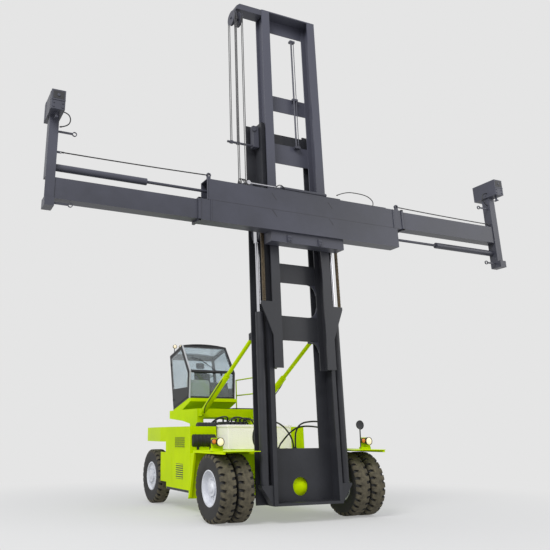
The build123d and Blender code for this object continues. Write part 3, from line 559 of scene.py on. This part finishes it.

# Foot hoses: wire-braided rubber pressure hoses. They rise from fittings on the deck and arch over to the
# mast's rails.
deck_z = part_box("chassis_frame")[1].z
foot_hoses = (("left_arc",
               ((-0.50, 0.30, deck_z), (-0.54, 0.30, 1.47), (-0.72, 0.31, 1.48), (-0.78, 0.32, 1.68),
                (-0.73, 0.31, 1.90), (-0.58, 0.24, 2.02), (-0.50, -0.02, 2.03), (-0.52, -0.24, 2.00))),
              ("cross_up",
               ((0.38, 0.46, deck_z), (0.38, 0.46, 1.54), (0.32, 0.46, 1.72), (0.18, 0.44, 1.88),
                (0.00, 0.38, 1.99), (-0.30, 0.16, 2.04), (-0.52, -0.08, 2.00), (-0.60, -0.24, 1.98))),
              ("cross_down",
               ((-0.04, 0.44, deck_z), (-0.03, 0.44, 1.50), (0.10, 0.45, 1.63), (0.26, 0.45, 1.78),
                (0.46, 0.38, 1.93), (0.66, 0.10, 1.95), (0.72, -0.24, 1.90))),
              ("high_arc",
               ((0.42, 0.44, deck_z), (0.42, 0.44, 1.60), (0.44, 0.44, 1.84), (0.60, 0.44, 2.02),
                (0.92, 0.40, 2.06), (1.00, 0.20, 2.04), (0.90, -0.24, 2.00))))
for name, route in foot_hoses:
    made = hose(f"foot_hose_{name}", route, 0.019)
    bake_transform(made)


# Fender bands: lime flat bar under the fenders' sheet, welded along the outer edge and down the rear
# flap to stiffen it.
fender_low, fender_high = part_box("fender_left")
band_outer, band_wide, band_deep = abs(fender_low.x) - 2 * MM, 60 * MM, 45 * MM
sheet_z, knee_y, flap_y, flap_z = fender_high.z - 14 * MM, 0.76, 1.03, fender_low.z
band_outline = ((-0.74, sheet_z), (knee_y - 0.01, sheet_z), (flap_y, flap_z + 0.03),
                (flap_y - 0.05, flap_z + 0.03), (knee_y - 0.05, sheet_z - band_deep),
                (-0.74, sheet_z - band_deep))
for side, sign in sides:
    band = bmesh.new()
    near, far = sorted((sign * (band_outer - band_wide), sign * band_outer))
    prism(band, band_outline, near, far, 0)
    piece(f"fender_band_{side}", band, lime, "chassis", "lime_paint", bevel_mm=4)


# Fender lamps: on each fender a lime bracket carries a clear head lamp and an amber flasher.
# The right one also carries a round mirror on a stalk.
clear_lens, clear_shader = surface("clear_lamp_glass", "#FFF6DC", 0.08, Transmission_Weight=0.3,
                                   Emission_Strength=0.35)
clear_shader.inputs["Emission Color"].default_value = linear("#FFE9B0")
amber_lens = mottled("amber_lamp_plastic", "#F08A1C", 0.15, "#F59428", "#E27A10", 12,
                     Transmission_Weight=0.25)


def lamp(bm, centre, radius, depth):
    """A round lamp that faces forward: a black cup, and a domed lens in its rim."""
    first = len(bm.faces)
    turned(bm, at(*centre), (0, -1, 0),
           ((-depth, 0), (-depth, radius * 0.7), (-depth * 0.5, radius), (0, radius * 1.05),
            (0.012, radius * 1.05), (0.012, radius * 0.93), (0.004, radius * 0.92)), 36)
    cup_end = len(bm.faces)
    turned(bm, at(*centre), (0, -1, 0),
           ((0.002, radius * 0.93), (0.012, radius * 0.8), (0.02, radius * 0.5), (0.024, 0)), 36)
    bm.faces.ensure_lookup_table()
    for face in bm.faces[first:cup_end]:
        face.material_index = 0
    for face in bm.faces[cup_end:]:
        face.material_index = 1


for side, sign in sides:
    bracket = bmesh.new()
    block(bracket, (sign * 1.92 - 0.15, -0.27, fender_high.z - 2 * MM),
          (sign * 1.92 + 0.11, -0.17, fender_high.z + 0.05))
    block(bracket, (sign * 1.92 - 0.15, -0.23, fender_high.z + 0.02),
          (sign * 1.92 + 0.13, -0.22, fender_high.z + 0.26))
    piece(f"lamp_bracket_{side}", bracket, lime, "chassis", "lime_paint", bevel_mm=3)
    head = bmesh.new()
    lamp(head, (sign * 1.92 + 0.02, -0.33, 1.61), 0.085, 0.10)
    piece(f"head_lamp_{side}", head, (black_coat, clear_lens), "chassis", "black_paint")
    flasher = bmesh.new()
    lamp(flasher, (sign * 1.92 - 0.12, -0.31, 1.62), 0.055, 0.08)
    piece(f"flasher_{side}", flasher, (black_coat, amber_lens), "chassis", "black_paint")
mirror = bmesh.new()
bar(mirror, (1.78, -0.22, 1.45), (1.78, -0.24, 1.90), 0.014)
turned(mirror, at(1.78, -0.24, 1.97), (0, -1, 0),
       ((-0.05, 0), (-0.045, 0.05), (-0.01, 0.098), (0.02, 0.105), (0.026, 0.10), (0.022, 0.09),
        (0.024, 0)), 36)
piece("fender_mirror", mirror, black_coat, "chassis", "black_paint")


# Cab shell: pressed and welded posts in black powder coat, with a crowned roof and glass down to the floor.
# It stands for the plain frame, in the same outline of Y and Z.
cab_outline = ((4.10, 2.74), (4.05, 3.48), (4.64, 4.29), (5.58, 4.06), (5.25, 2.45))
low_front, kink, top_front, top_rear, low_rear = cab_outline
cab_middle = (4.74, 3.42)
cab_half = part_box("cab_frame")[1].x
post_wide, post_deep, roof_thick, crown_rise = 0.055, 0.055, 0.035, 0.06


def strip_section(first, second, start, deep, inset=0.0):
    """The section of a sheet or post that lies just inside one side of the cab's outline."""
    (y0, z0), (y1, z1) = first, second
    length = math.hypot(y1 - y0, z1 - z0)
    along = ((y1 - y0) / length, (z1 - z0) / length)
    inward = (along[1], -along[0])
    ends = ((y0 + along[0] * inset, z0 + along[1] * inset),
            (y1 - along[0] * inset, z1 - along[1] * inset))
    corners = ((ends[0], start), (ends[1], start), (ends[1], start + deep), (ends[0], start + deep))
    return tuple((y + inward[0] * depth, z + inward[1] * depth) for (y, z), depth in corners)


def towards(first, second, share):
    """A place that share of the way from one corner to the next."""
    return tuple(a + (b - a) * share for a, b in zip(first, second))


shell = bmesh.new()
for first, second in zip(cab_outline, cab_outline[1:] + cab_outline[:1]):
    for sign in (-1, 1):
        near, far = sorted((sign * (cab_half - post_wide), sign * (cab_half - 1 * MM)))
        prism(shell, strip_section(first, second, 0, post_deep), near, far, 0)
    prism(shell, strip_section(first, towards(first, second, 0.07), 0, post_deep), -cab_half + 0.03,
          cab_half - 0.03, 0)
prism(shell, strip_section(towards(top_rear, low_rear, 0.62), low_rear, 0.005, 0.03), -cab_half + 0.03,
      cab_half - 0.03, 0)
prism(shell, strip_section(low_rear, low_front, 0, 0.04), -cab_half + 0.03, cab_half - 0.03, 0)
crown_steps = 16
crown_x = [cab_half * (2 * i / crown_steps - 1) for i in range(crown_steps + 1)]
crown_z = [crown_rise * (1 - (x / cab_half) ** 2) for x in crown_x]
for from_share, to_share in ((0.0, 0.12), (0.82, 1.0)):
    (y0, z0), (y1, z1) = towards(top_front, top_rear, from_share), towards(top_front, top_rear, to_share)
    edge = [[shell.verts.new(at(x, y, z + lift - drop)) for x, lift in zip(crown_x, crown_z)] for y, z,
            drop in ((y0, z0, 0), (y1, z1, 0), (y1, z1, roof_thick), (y0, z0, roof_thick))]
    for row, after in zip(edge, edge[1:] + edge[:1]):
        for i in range(crown_steps):
            shell.faces.new((row[i], row[i + 1], after[i + 1], after[i]))
    shell.faces.new([row[0] for row in edge])
    shell.faces.new([row[-1] for row in edge][::-1])
made = piece("cab_shell", shell, black_coat, "chassis", "black_paint", bevel_mm=5)
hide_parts("cab_frame")

# Cab glass: laminated sheet with a light smoke tint, cut flat and bonded in the shell's openings. The
# door's sheet swings with the door.
cab_glass = mottled("smoked_cab_glass", "#DCE6EA", 0.03, "#E2EAEE", "#D4DFE4", 700, IOR=1.45,
                    Transmission_Weight=0.92)
glass_inset, glass_thick, glass_margin = 0.022, 6 * MM, 0.05
sheets = bmesh.new()
for first, second in ((low_front, kink), (kink, top_front), (top_front, top_rear),
                      (top_rear, towards(top_rear, low_rear, 0.66))):
    prism(sheets, strip_section(first, second, glass_inset, glass_thick, glass_margin),
          -cab_half + glass_margin, cab_half - glass_margin, 0)
side_share = 0.86
side_sheet = tuple((cab_middle[0] + (y - cab_middle[0]) * side_share,
                    cab_middle[1] + (z - cab_middle[1]) * side_share) for y, z in cab_outline)
prism(sheets, side_sheet, cab_half - 19 * MM, cab_half - 13 * MM, 0)
piece("cab_glass", sheets, cab_glass, "chassis", "black_paint")
sheets = bmesh.new()
prism(sheets, side_sheet, -0.729, -0.723, 0)
piece("door_glass", sheets, cab_glass, "cab_door", "black_paint")

# Cab trim: a bright strip of anodised aluminium runs up the left front post, and the wiper lies across
# the windscreen on its pivot.
strip_alloy = mottled("anodised_aluminium_strip", "#C9CCD0", 0.3, "#D2D5D8", "#BABEC2", 200,
                      rough=(0.24, 0.38), stretch=(1, 1, 0.1), Metallic=0.9)
strip_ahead, strip_wide = 8 * MM, 0.05
trim = bmesh.new()
for first, second in ((low_front, kink), (kink, top_front)):
    outline = (first, second, (second[0] - strip_ahead, second[1] + strip_ahead),
               (first[0] - strip_ahead, first[1]))
    prism(trim, outline, -cab_half + 2 * MM, -cab_half + strip_wide, 0)
piece("post_strip", trim, strip_alloy, "chassis", "black_paint", bevel_mm=1.5)
wiper = bmesh.new()
bar(wiper, (0.28, 4.035, 3.42), (-0.30, 4.315, 3.87), 0.009)
bar(wiper, (-0.10, 4.225, 3.74), (-0.52, 4.385, 3.95), 0.007)
turned(wiper, at(0.28, 4.03, 3.42), (0, -1, 0.6), ((-0.03, 0), (-0.03, 0.03), (0.02, 0.026), (0.026, 0)),
       24)
piece("wiper", wiper, black_coat, "chassis", "black_paint")

# Cab inside: a cream moulded plastic console at the left front, a dark floor, and a steering column
# with the wheel's ring and three spokes.
console_plastic = mottled("cream_console_plastic", "#F4F6E2", 0.55, "#F8FAE8", "#ECEED6", 60, bump_mm=0.4)
console = bmesh.new()
prism(console, ((4.18, 2.74), (4.16, 3.16), (4.24, 3.26), (4.42, 3.28), (4.46, 2.70)), -0.66, -0.04, 0)
piece("cab_console", console, console_plastic, "chassis", "black_paint", bevel_mm=22)
column = bmesh.new()
prism(column, ((4.16, 2.74), (5.18, 2.49), (5.18, 2.55), (4.16, 2.80)), -0.64, 0.64, 0)
prism(column, ((4.20, 2.78), (4.30, 3.20), (4.42, 3.22), (4.52, 2.75)), 0.06, 0.60, 0)
bar(column, (0.08, 4.42, 2.80), (0.08, 4.50, 3.42), 0.035)
wheel_centre, wheel_axis = at(0.08, 4.51, 3.44), Vector((0, 0.35, 0.94)).normalized()
ring = [(0.013 * math.sin(t * math.pi / 4), 0.19 + 0.013 * math.cos(t * math.pi / 4)) for t in range(8)]
turned(column, wheel_centre, wheel_axis, ring, 48, closed=True)
turned(column, wheel_centre, wheel_axis, ((-0.04, 0), (-0.04, 0.04), (0.01, 0.05), (0.015, 0)), 24)
for spoke in range(3):
    turn = math.radians(90 + 120 * spoke)
    across = wheel_axis.orthogonal().normalized()
    reach = (math.cos(turn) * across + math.sin(turn) * wheel_axis.cross(across)) * 0.19
    hub = wheel_centre - at(0, 0, 0)
    bar(column, hub, hub + reach, 0.009, 10)
piece("steering_column", column, black_coat, "chassis", "black_paint", bevel_mm=6)

# Operator's seat: foam pads under black woven cloth, with sewn channels. They are fixed on a sprung
# black base, and the headrest stands on two rods.
seat_cloth = mottled("seat_cloth", "#26262A", 0.9, "#303036", "#1C1C20", 14, bump_mm=0.8,
                     Sheen_Weight=0.3)


def cushion(name, centre, size, lean_deg, channels):
    """A crowned pad whose sides pull in, with sewn channels across its face."""
    pad = bmesh.new()
    bmesh.ops.create_cube(pad, size=2)
    bmesh.ops.subdivide_edges(pad, edges=pad.edges, cuts=15, use_grid_fill=True)
    lean = Matrix.Rotation(math.radians(lean_deg), 3, "X")
    for vert in pad.verts:
        u, v, w = vert.co
        pull = 1 - 0.06 * (u * u + v * v) - 0.05 * w * w
        crown = w * (1 - 0.22 * (u ** 4 + v ** 4) + 0.12 * (1 - u * u) * (1 - v * v))
        if w > 0.9:
            crown -= sum(0.16 * math.exp(-((v - place) / 0.05) ** 2) * (1 - u ** 6) for place in channels)
        local = Vector((u * pull * size[0] / 2, v * pull * size[1] / 2, crown * size[2] / 2))
        vert.co = at(*centre) + lean @ local
    made = piece(name, pad, seat_cloth, "chassis", "black_paint", sharp_deg=60)


seat_lean = -14.15
cushion("seat_cushion", (0.12, 4.76, 3.02), (0.50, 0.50, 0.13), seat_lean, (-0.35, 0.05, 0.45))
cushion("seat_back", (0.12, 5.10, 3.34), (0.48, 0.62, 0.12), 90 + seat_lean, (-0.5, -0.1, 0.3))
cushion("seat_headrest", (0.12, 5.20, 3.76), (0.28, 0.18, 0.09), 90 + seat_lean, ())
base = bmesh.new()
block(base, (-0.04, 4.62, 2.62), (0.28, 4.94, 2.78))
block(base, (-0.10, 4.58, 2.78), (0.34, 4.98, 2.95))
bar(base, (0.06, 5.17, 3.60), (0.06, 5.20, 3.72), 0.008)
bar(base, (0.18, 5.17, 3.60), (0.18, 5.20, 3.72), 0.008)
piece("seat_base", base, black_coat, "chassis", "black_paint", bevel_mm=8)

# Cab belly: a tray folded from lime sheet and fixed under the cab's floor, in shadow between the
# cradle's arms.
belly = bmesh.new()
rims_of_belly = [[belly.verts.new(at(x, y, z)) for x, y, z in ring_places]
                 for ring_places in (
        ((-0.62, 4.12, 2.72), (0.62, 4.12, 2.72), (0.62, 5.15, 2.47), (-0.62, 5.15, 2.47)),
        ((-0.46, 4.50, 2.435), (0.46, 4.50, 2.435), (0.50, 5.12, 2.435), (-0.50, 5.12, 2.435)))]
belly.faces.new(rims_of_belly[0])
belly.faces.new(rims_of_belly[1][::-1])
for i in range(4):
    belly.faces.new((rims_of_belly[0][i - 1], rims_of_belly[0][i], rims_of_belly[1][i],
                     rims_of_belly[1][i - 1]))
piece("cab_belly", belly, lime, "chassis", "lime_paint", bevel_mm=8)

# Cab lamps: two work lamps with black cups and clear glass, each on a short stalk at the roof's left
# rear corner.
for number, x in enumerate((-0.66, -0.46)):
    work = bmesh.new()
    lamp(work, (x, 5.34, 4.33), 0.06, 0.07)
    bar(work, (x, 5.38, 4.14), (x, 5.38, 4.30), 0.012)
    piece(f"cab_lamp_{number}", work, (black_coat, clear_lens), "chassis", "black_paint")


# Hose sheaves: two grooved wheels and their steel arm, enamelled with the inner mast's head. Twin hoses run
# from an arm on the outer mast over each wheel and down to the carriage. They stay taut.
sheave_y, sheave_z, sheave_radius, sheave_half = -0.70, 11.89, 0.18, 34 * MM
sheave_places = (-1.42, -1.60)
hose_apart, strand_radius = 19 * MM, 10 * MM
mast_arm_z, carriage_arm_z = 8.50, 7.20


def disc(bm, centre, axis, radius, top_radius, high, turns):
    """A bolt head, cap or eye: a short turned piece with a flat top."""
    turned(bm, centre, axis, ((0, 0), (0, radius), (high, top_radius), (high, 0)), turns)


head = bmesh.new()
for x in sheave_places:
    turned(head, at(x - sheave_half, sheave_y, sheave_z), (1, 0, 0),
           ((0, 0.03), (0, sheave_radius + 0.012), (0.006, sheave_radius + 0.012),
            (0.010, sheave_radius - 0.010), (2 * sheave_half - 0.010, sheave_radius - 0.010),
            (2 * sheave_half - 0.006, sheave_radius + 0.012), (2 * sheave_half, sheave_radius + 0.012),
            (2 * sheave_half, 0.03)), 40, closed=True)
bar(head, (-1.37, sheave_y, sheave_z), (-1.66, sheave_y, sheave_z), 0.03)
block(head, (-1.525, sheave_y - 0.05, sheave_z - 0.06), (-1.495, sheave_y + 0.05, 12.18))
prism(head, ((-0.79, 12.13), (-1.53, 12.13), (-1.53, 12.22), (-1.44, 12.30), (-0.79, 12.30)),
      sheave_y - 0.12, sheave_y + 0.19, 1)
piece("hose_sheaves", head, charcoal, "inner_mast", "mast_paint", bevel_mm=2)
arms = bmesh.new()
block(arms, (-1.03, -0.60, 8.45), (-0.88, -0.44, 9.02))
bar(arms, (-0.95, -0.52, mast_arm_z), (-1.71, -0.52, mast_arm_z), 0.028)
for x in sheave_places:
    block(arms, (x - 0.04, -0.55, mast_arm_z - 0.035), (x + 0.04, -0.49, mast_arm_z + 0.035))
disc(arms, at(-1.03, -0.60, 8.93), (0, -1, 0), 0.07, 0.07, 0.03, 28)
piece("mast_hose_arm", arms, charcoal, "mast", "mast_paint", bevel_mm=6)
arms = bmesh.new()
block(arms, (-1.66, -0.916, 7.11), (-0.96, -0.886, 7.22))
prism(arms, ((-1.0, 7.11), (-1.0, 6.95), (-1.25, 7.11)), -0.916, -0.886, 1)
piece("carriage_hose_arm", arms, charcoal, "carriage", "mast_paint", bevel_mm=4)
for number, x in enumerate(place + offset for place in sheave_places
                           for offset in (-hose_apart, hose_apart)):
    arc = [(x, sheave_y - sheave_radius * math.cos(turn), sheave_z + sheave_radius * math.sin(turn))
           for turn in (math.pi * step / 6 for step in range(7))]
    hose(f"sheave_hose_{number}", arc, strand_radius, "inner_mast", ends=(False, False))
    front = hose(f"front_strand_{number}",
                 ((x, sheave_y - sheave_radius, sheave_z),
                  (x, sheave_y - sheave_radius, (sheave_z + carriage_arm_z) / 2),
                  (x, sheave_y - sheave_radius - 10 * MM, carriage_arm_z)), strand_radius,
                 ends=(False, True))
    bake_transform(front)
    rear = hose(f"rear_strand_{number}",
                ((x, sheave_y + sheave_radius, sheave_z),
                 (x, sheave_y + sheave_radius, (sheave_z + mast_arm_z) / 2),
                 (x, sheave_y + sheave_radius, mast_arm_z)), strand_radius, ends=(False, True))
    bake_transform(rear)
pipes = bmesh.new()
bar(pipes, (0.20, -0.60, 8.62), (0.20, -0.60, 11.78), 0.022)
bar(pipes, (0.27, -0.60, 8.62), (0.27, -0.60, 11.78), 0.010)
for z in (8.66, 10.0, 11.74):
    block(pipes, (0.16, -0.62, z - 0.03), (0.31, -0.53, z + 0.03))
piece("inner_mast_pipes", pipes, charcoal, "inner_mast", "mast_paint", bevel_mm=2)


# Inner mast's cross members: curved corner webs between them and the rails, cut from the same plate
# and welded in.
web_radius, web_x, web_z, web_steps = 0.24, 0.58, 3.80, 10
webs = bmesh.new()
for sign in (-1, 1):
    for z, drop in ((web_z, -1), (5.14, -1), (4.36, 1)):
        arc = [(sign * (web_x - web_radius * (1 - math.cos(turn))),
                z + drop * web_radius * (1 - math.sin(turn)))
               for turn in (math.pi / 2 * step / web_steps for step in range(web_steps + 1))]
        prism(webs,
              ((sign * (web_x + 0.01), z - drop * 0.01), (sign * (web_x + 0.01), z + drop * web_radius),
               *arc, (sign * (web_x - web_radius), z - drop * 0.01)), -0.50, -0.472, 1)
piece("mast_corner_webs", webs, charcoal, "inner_mast", "mast_paint", bevel_mm=2)

# Mast foot: turned steel caps over the foot pins, each held by six bolts on the outer mast's two
# side plates.
outer_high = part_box("outer_mast")[1]
caps = bmesh.new()
for sign in (-1, 1):
    turned(caps, at(sign * (outer_high.x - 0.004), -0.20, 0.92), (sign, 0, 0),
           ((0, 0), (0, 0.10), (0.010, 0.10), (0.014, 0.09), (0.014, 0.05), (0.022, 0.045), (0.022, 0)),
           32)
    for i in range(6):
        turn = math.pi * i / 3
        disc(caps,
             at(sign * (outer_high.x + 0.006), -0.20 + 0.075 * math.cos(turn),
                0.92 + 0.075 * math.sin(turn)), (sign, 0, 0), 0.012, 0.012, 0.014, 6)
piece("mast_pin_caps", caps, charcoal, "mast", "mast_paint", bevel_mm=1)


# Spreader: two welded boxes, one on the other, with flanged mouths where the beams slide out, bolted shoes
# on the carriage's rail and slanting slot openings cut in the face, drawn as black sheets of painted shade.
box_low, box_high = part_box("spreader_box_low"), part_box("spreader_box_high")
face_y, back_y = box_low[0].y - axle_y, box_low[1].y - axle_y
mouths = bmesh.new()
for low, high, end_x in ((box_low[0], box_low[1], box_low[0].x),
                         (box_high[0], box_high[1], box_high[1].x)):
    inward = math.copysign(1, -end_x)
    for z0, z1, y0, y1 in ((low.z - 0.03, low.z + 0.012, face_y - 0.02, back_y + 0.02),
                           (high.z - 0.012, high.z + 0.02, face_y - 0.02, back_y + 0.02),
                           (low.z - 0.03, high.z + 0.02, face_y - 0.02, face_y + 0.002),
                           (low.z - 0.03, high.z + 0.02, back_y - 0.002, back_y + 0.02)):
        near, far = sorted((end_x + 0.002 * inward, end_x + 0.06 * inward))
        block(mouths, (near, y0, z0), (far, y1, z1))
for x, low, high in ((-2.50, box_low[0].z, box_low[1].z), (2.50, box_high[0].z, box_high[1].z),
                     (-2.585, box_high[0].z, box_high[1].z)):
    block(mouths, (x - 0.012, face_y - 0.014, low), (x + 0.012, face_y + 0.002, high))
prism(mouths,
      ((-1.95, box_high[1].z - 2 * MM), (-1.30, box_high[1].z - 2 * MM), (-1.34, box_high[1].z + 0.16),
       (-1.44, box_high[1].z + 0.20), (-1.54, box_high[1].z + 0.16)), -1.02, -0.99, 1)
for x in (-2.54, 2.66):
    block(mouths, (x - 0.04, -1.235, box_high[1].z - 2 * MM), (x + 0.04, -1.18, box_high[1].z + 0.06))
    turned(mouths, at(x, -1.23, box_high[1].z + 0.10), (0, 1, 0),
           ((0, 0.028), (0, 0.055), (0.045, 0.055), (0.045, 0.028)), 28, closed=True)
bar(mouths, (-0.55, -1.06, box_high[1].z + 0.075), (2.45, -1.06, box_high[1].z + 0.075), 0.026)
for x in (-0.45, 1.0, 2.35):
    block(mouths, (x - 0.03, -1.09, box_high[1].z - 2 * MM), (x + 0.03, -1.03, box_high[1].z + 0.06))
piece("spreader_mouths", mouths, charcoal, "spreader", "mast_paint", bevel_mm=4)
# Painted shade: black sheets on the face stand for the shade inside the slanting slot openings. The strip
# along the boxes' joint is a dark seam.
slot_shade_and_seam = bmesh.new()
for x in (-0.91, 0.62):
    for z in (6.94, 6.53):
        prism(slot_shade_and_seam,
              ((x - 0.066, z + 0.075), (x - 0.052, z + 0.080), (x + 0.066, z - 0.075),
               (x + 0.052, z - 0.080)), face_y - 1.5 * MM, face_y + 1 * MM, 1)
block(slot_shade_and_seam, (-2.59, face_y - 1.2 * MM, box_high[0].z - 3 * MM),
      (2.59, face_y + 1 * MM, box_high[0].z + 3 * MM))
piece("spreader_slot_shade_and_seam", slot_shade_and_seam, black_coat, "spreader", "black_paint")
shoes = bmesh.new()
rail_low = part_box("carriage")[0]
for x in (-0.52, 0.31):
    block(shoes, (x - 0.05, -1.215, rail_low.z + 0.02), (x + 0.05, -1.186, rail_low.z + 0.17))
    for dx in (-0.025, 0.025):
        for dz in (0.06, 0.12):
            disc(shoes, at(x + dx, -1.215, rail_low.z + dz), (0, -1, 0), 0.017, 0.016, 0.014, 6)
piece("slide_shoes", shoes, charcoal, "carriage", "mast_paint", bevel_mm=2)

# Side-shift cylinder: its painted barrel is fixed on the carriage's head, and its chrome rod on the
# spreader's left lug.
shift_y, shift_z = -1.008, box_high[1].z + 0.175
shift = bmesh.new()
bar(shift, (-0.55, shift_y, shift_z), (0.70, shift_y, shift_z), 0.045, 28)
bar(shift, (-0.58, shift_y, shift_z), (-0.50, shift_y, shift_z), 0.052, 28)
for x in (-0.40, 0.60):
    block(shift, (x - 0.03, shift_y - 0.02, shift_z - 0.06), (x + 0.03, shift_y + 0.30, shift_z - 0.03))
piece("shift_barrel", shift, charcoal, "carriage", "mast_paint", bevel_mm=2)
shift = bmesh.new()
bar(shift, (-1.44, shift_y, shift_z), (-0.10, shift_y, shift_z), 0.022, 24)
disc(shift, at(-1.44, shift_y - 0.04, shift_z), (0, 1, 0), 0.05, 0.05, 0.08, 24)
piece("shift_rod", shift, chrome, "spreader", "rod_chrome")

# Spreader hoses: taut lines follow the beams out to the end posts, where short loops feed the locks'
# turning gear. The posts' brackets, rings, bolts and side plates are cut from flat bar and welded on.
for side, sign, bracket_x in (("left", -1, -2.54), ("right", 1, 2.66)):
    line = hose(f"beam_line_{side}",
                ((bracket_x, -1.208, box_high[1].z + 0.10), (sign * 4.2, -1.20, box_high[1].z + 0.06),
                 (sign * 5.80, -1.20, box_high[1].z + 0.06)), 13 * MM)
    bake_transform(line)
    fittings = bmesh.new()
    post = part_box(f"end_post_{side}")
    inner_x = sign * min(abs(post[0].x), abs(post[1].x))
    for z, reach, ring_radius in ((7.62, 0.26, 0.05), (7.17, 0.03, 0.02), (6.08, 0.26, 0.05)):
        near, far = sorted((inner_x + sign * 0.03, inner_x - sign * reach))
        block(fittings, (near, -1.20, z - 0.02), (far, -1.17, z + 0.02))
        turned(fittings, at(inner_x - sign * (reach + ring_radius * 0.8), -1.20, z), (0, 1, 0),
               ((0, ring_radius * 0.7), (0, ring_radius), (0.03, ring_radius), (0.03, ring_radius * 0.7)),
               28, closed=True)
    head_x, head_y, head_z = sorted((post[0].x, post[1].x)), post[0].y - axle_y, post[1].z
    # Painted shade: a black sheet on the head's face, for the shade in its recess.
    block(fittings, (head_x[0] + 0.03, head_y - 4 * MM, head_z - 0.20),
          (head_x[1] - 0.03, head_y + 1 * MM, head_z - 0.03), 1)
    block(fittings, (head_x[0] - 2 * MM, head_y - 10 * MM, head_z - 0.235),
          (head_x[1] + 2 * MM, head_y + 1 * MM, head_z - 0.205))
    disc(fittings, at(sum(head_x) / 2, head_y - 4 * MM, head_z - 0.115), (0, -1, 0), 0.034, 0.03, 0.012,
         20)
    for dx in (0.05, 0.23):
        for drop in (0.29, 0.38):
            disc(fittings, at(head_x[0] + dx, head_y, head_z - drop), (0, -1, 0), 0.02, 0.018, 0.014, 6)
    outer_face = sign * max(abs(head_x[0]), abs(head_x[1]))
    for y in (head_y + 0.12, head_y + 0.62):
        near, far = sorted((outer_face - sign * 1 * MM, outer_face + sign * 8 * MM))
        block(fittings, (near, y - 0.035, head_z - 0.42), (far, y + 0.035, head_z - 0.01))
    piece(f"post_hooks_{side}", fittings, (charcoal, black_coat), f"arm_{side}", "mast_paint", bevel_mm=2)
    hose(f"head_loop_{side}",
         ((inner_x + sign * 0.05, -1.26, 8.05), (inner_x - sign * 0.12, -1.26, 8.04),
          (inner_x - sign * 0.20, -1.26, 7.90), (inner_x - sign * 0.14, -1.25, 7.74),
          (inner_x + sign * 0.02, -1.2, 7.72)), 12 * MM, f"arm_{side}")
hose("box_hose_right",
     ((0.95, -1.10, 7.30), (1.22, -1.08, 7.44), (1.62, -1.08, 7.46), (1.90, -1.10, 7.42),
      (2.02, -1.14, 7.28), (1.94, -1.20, 7.12), (1.90, -1.20, 7.09)), 11 * MM, "spreader")
hose("box_hose_middle",
     ((-0.78, -1.08, 7.10), (-0.78, -1.09, 7.24), (-0.64, -1.10, 7.34), (-0.50, -1.09, 7.26),
      (-0.48, -1.06, 7.18)), 11 * MM, "spreader")
for number, offset in enumerate((-0.04, 0.0, 0.04)):
    made = hose(f"drop_hose_{number}",
                ((-1.62 + offset, -0.93, 7.24), (-1.62 + offset, -0.94, 7.33),
                 (-1.59 + offset, -0.97, 7.38), (-1.52 + offset, -1.02, 7.33),
                 (-1.50 + offset, -1.04, 7.20)), 11 * MM)
    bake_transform(made)

# Tilt hoses: a hard line clipped along each tilt cylinder feeds its rod end. It is steel tube in a
# black sleeve, and swings with the barrel.
for side, sign in sides:
    hose(f"tilt_line_{side}",
         ((sign * 0.81, 2.86, 2.30), (sign * 0.90, 2.70, 2.42), (sign * 0.90, 2.3, 2.64),
          (sign * 0.90, 1.8, 2.93), (sign * 0.88, 1.56, 3.10), (sign * 0.83, 1.52, 3.16)), 11 * MM,
         f"tilt_barrel_{side}")


# Studio: a plain pale floor that fades into a backdrop of the same grey, under soft light. The floor
# keeps the machine's shadow.
floor_half, fade_from, fade_to = 60, 3.5, 12.0
backdrop_grey = "#E5E5E5"
floor_mesh = bpy.data.meshes.new("floor")
floor_mesh.from_pydata([(-floor_half, -floor_half, 0), (floor_half, -floor_half, 0),
                        (floor_half, floor_half, 0), (-floor_half, floor_half, 0)], [], [(0, 1, 2, 3)])
floor = bpy.data.objects.new("floor", floor_mesh)
bpy.context.scene.collection.objects.link(floor)
floor_paint, floor_shader = surface("studio_floor", "#C7C7C7", 0.9, Specular_IOR_Level=0.1)
floor_tree = floor_paint.node_tree
floor_place = node(floor_tree, "ShaderNodeTexCoord")
distance = node(floor_tree, "ShaderNodeVectorMath", {"operation": "LENGTH"},
                _0=floor_place.outputs["Object"])
fade = node(floor_tree, "ShaderNodeMapRange",
            {"interpolation_type": "SMOOTHSTEP", "From Min": fade_from, "From Max": fade_to,
             "To Min": 0.4}, Value=distance.outputs["Value"])
floor_glow = node(floor_tree, "ShaderNodeEmission", {"Color": linear(backdrop_grey), "Strength": 1.0})
floor_mix = node(floor_tree, "ShaderNodeMixShader", _0=fade.outputs["Result"], _1=floor_shader.outputs[0],
                 _2=floor_glow.outputs[0])
floor_tree.links.new(floor_mix.outputs[0], floor_tree.nodes["Material Output"].inputs["Surface"])
floor_mesh.materials.append(floor_paint)

world = bpy.data.worlds.new("studio")
bpy.context.scene.world = world
world.use_nodes = True
sky = world.node_tree
sky.nodes.clear()
rays = node(sky, "ShaderNodeLightPath")
lit = node(sky, "ShaderNodeBackground", {"Color": linear("#F4F6FA"), "Strength": 0.85})
shown = node(sky, "ShaderNodeBackground", {"Color": linear(backdrop_grey), "Strength": 1.0})
direct = node(sky, "ShaderNodeMath", {"operation": "MAXIMUM"}, _0=rays.outputs["Is Camera Ray"],
              _1=rays.outputs["Is Transmission Ray"])
seen = node(sky, "ShaderNodeMath", {"operation": "MAXIMUM"}, _0=direct.outputs[0],
            _1=rays.outputs["Is Glossy Ray"])
blend = node(sky, "ShaderNodeMixShader", _0=seen.outputs[0], _1=lit.outputs[0], _2=shown.outputs[0])
node(sky, "ShaderNodeOutputWorld", Surface=blend.outputs[0])

for name, place, energy, size in (("key", (-15, -14, 20), 4600, 9), ("fill", (16, -14, 10), 900, 12)):
    lamp_data = bpy.data.lights.new(name, "AREA")
    lamp_data.energy = energy
    lamp_data.size = size
    light = bpy.data.objects.new(name, lamp_data)
    light.location = place
    light.rotation_euler = (Vector((0, 0, 5)) - Vector(place)).to_track_quat("-Z", "Y").to_euler()
    bpy.context.scene.collection.objects.link(light)

bpy.context.scene.view_settings.view_transform = "Standard"
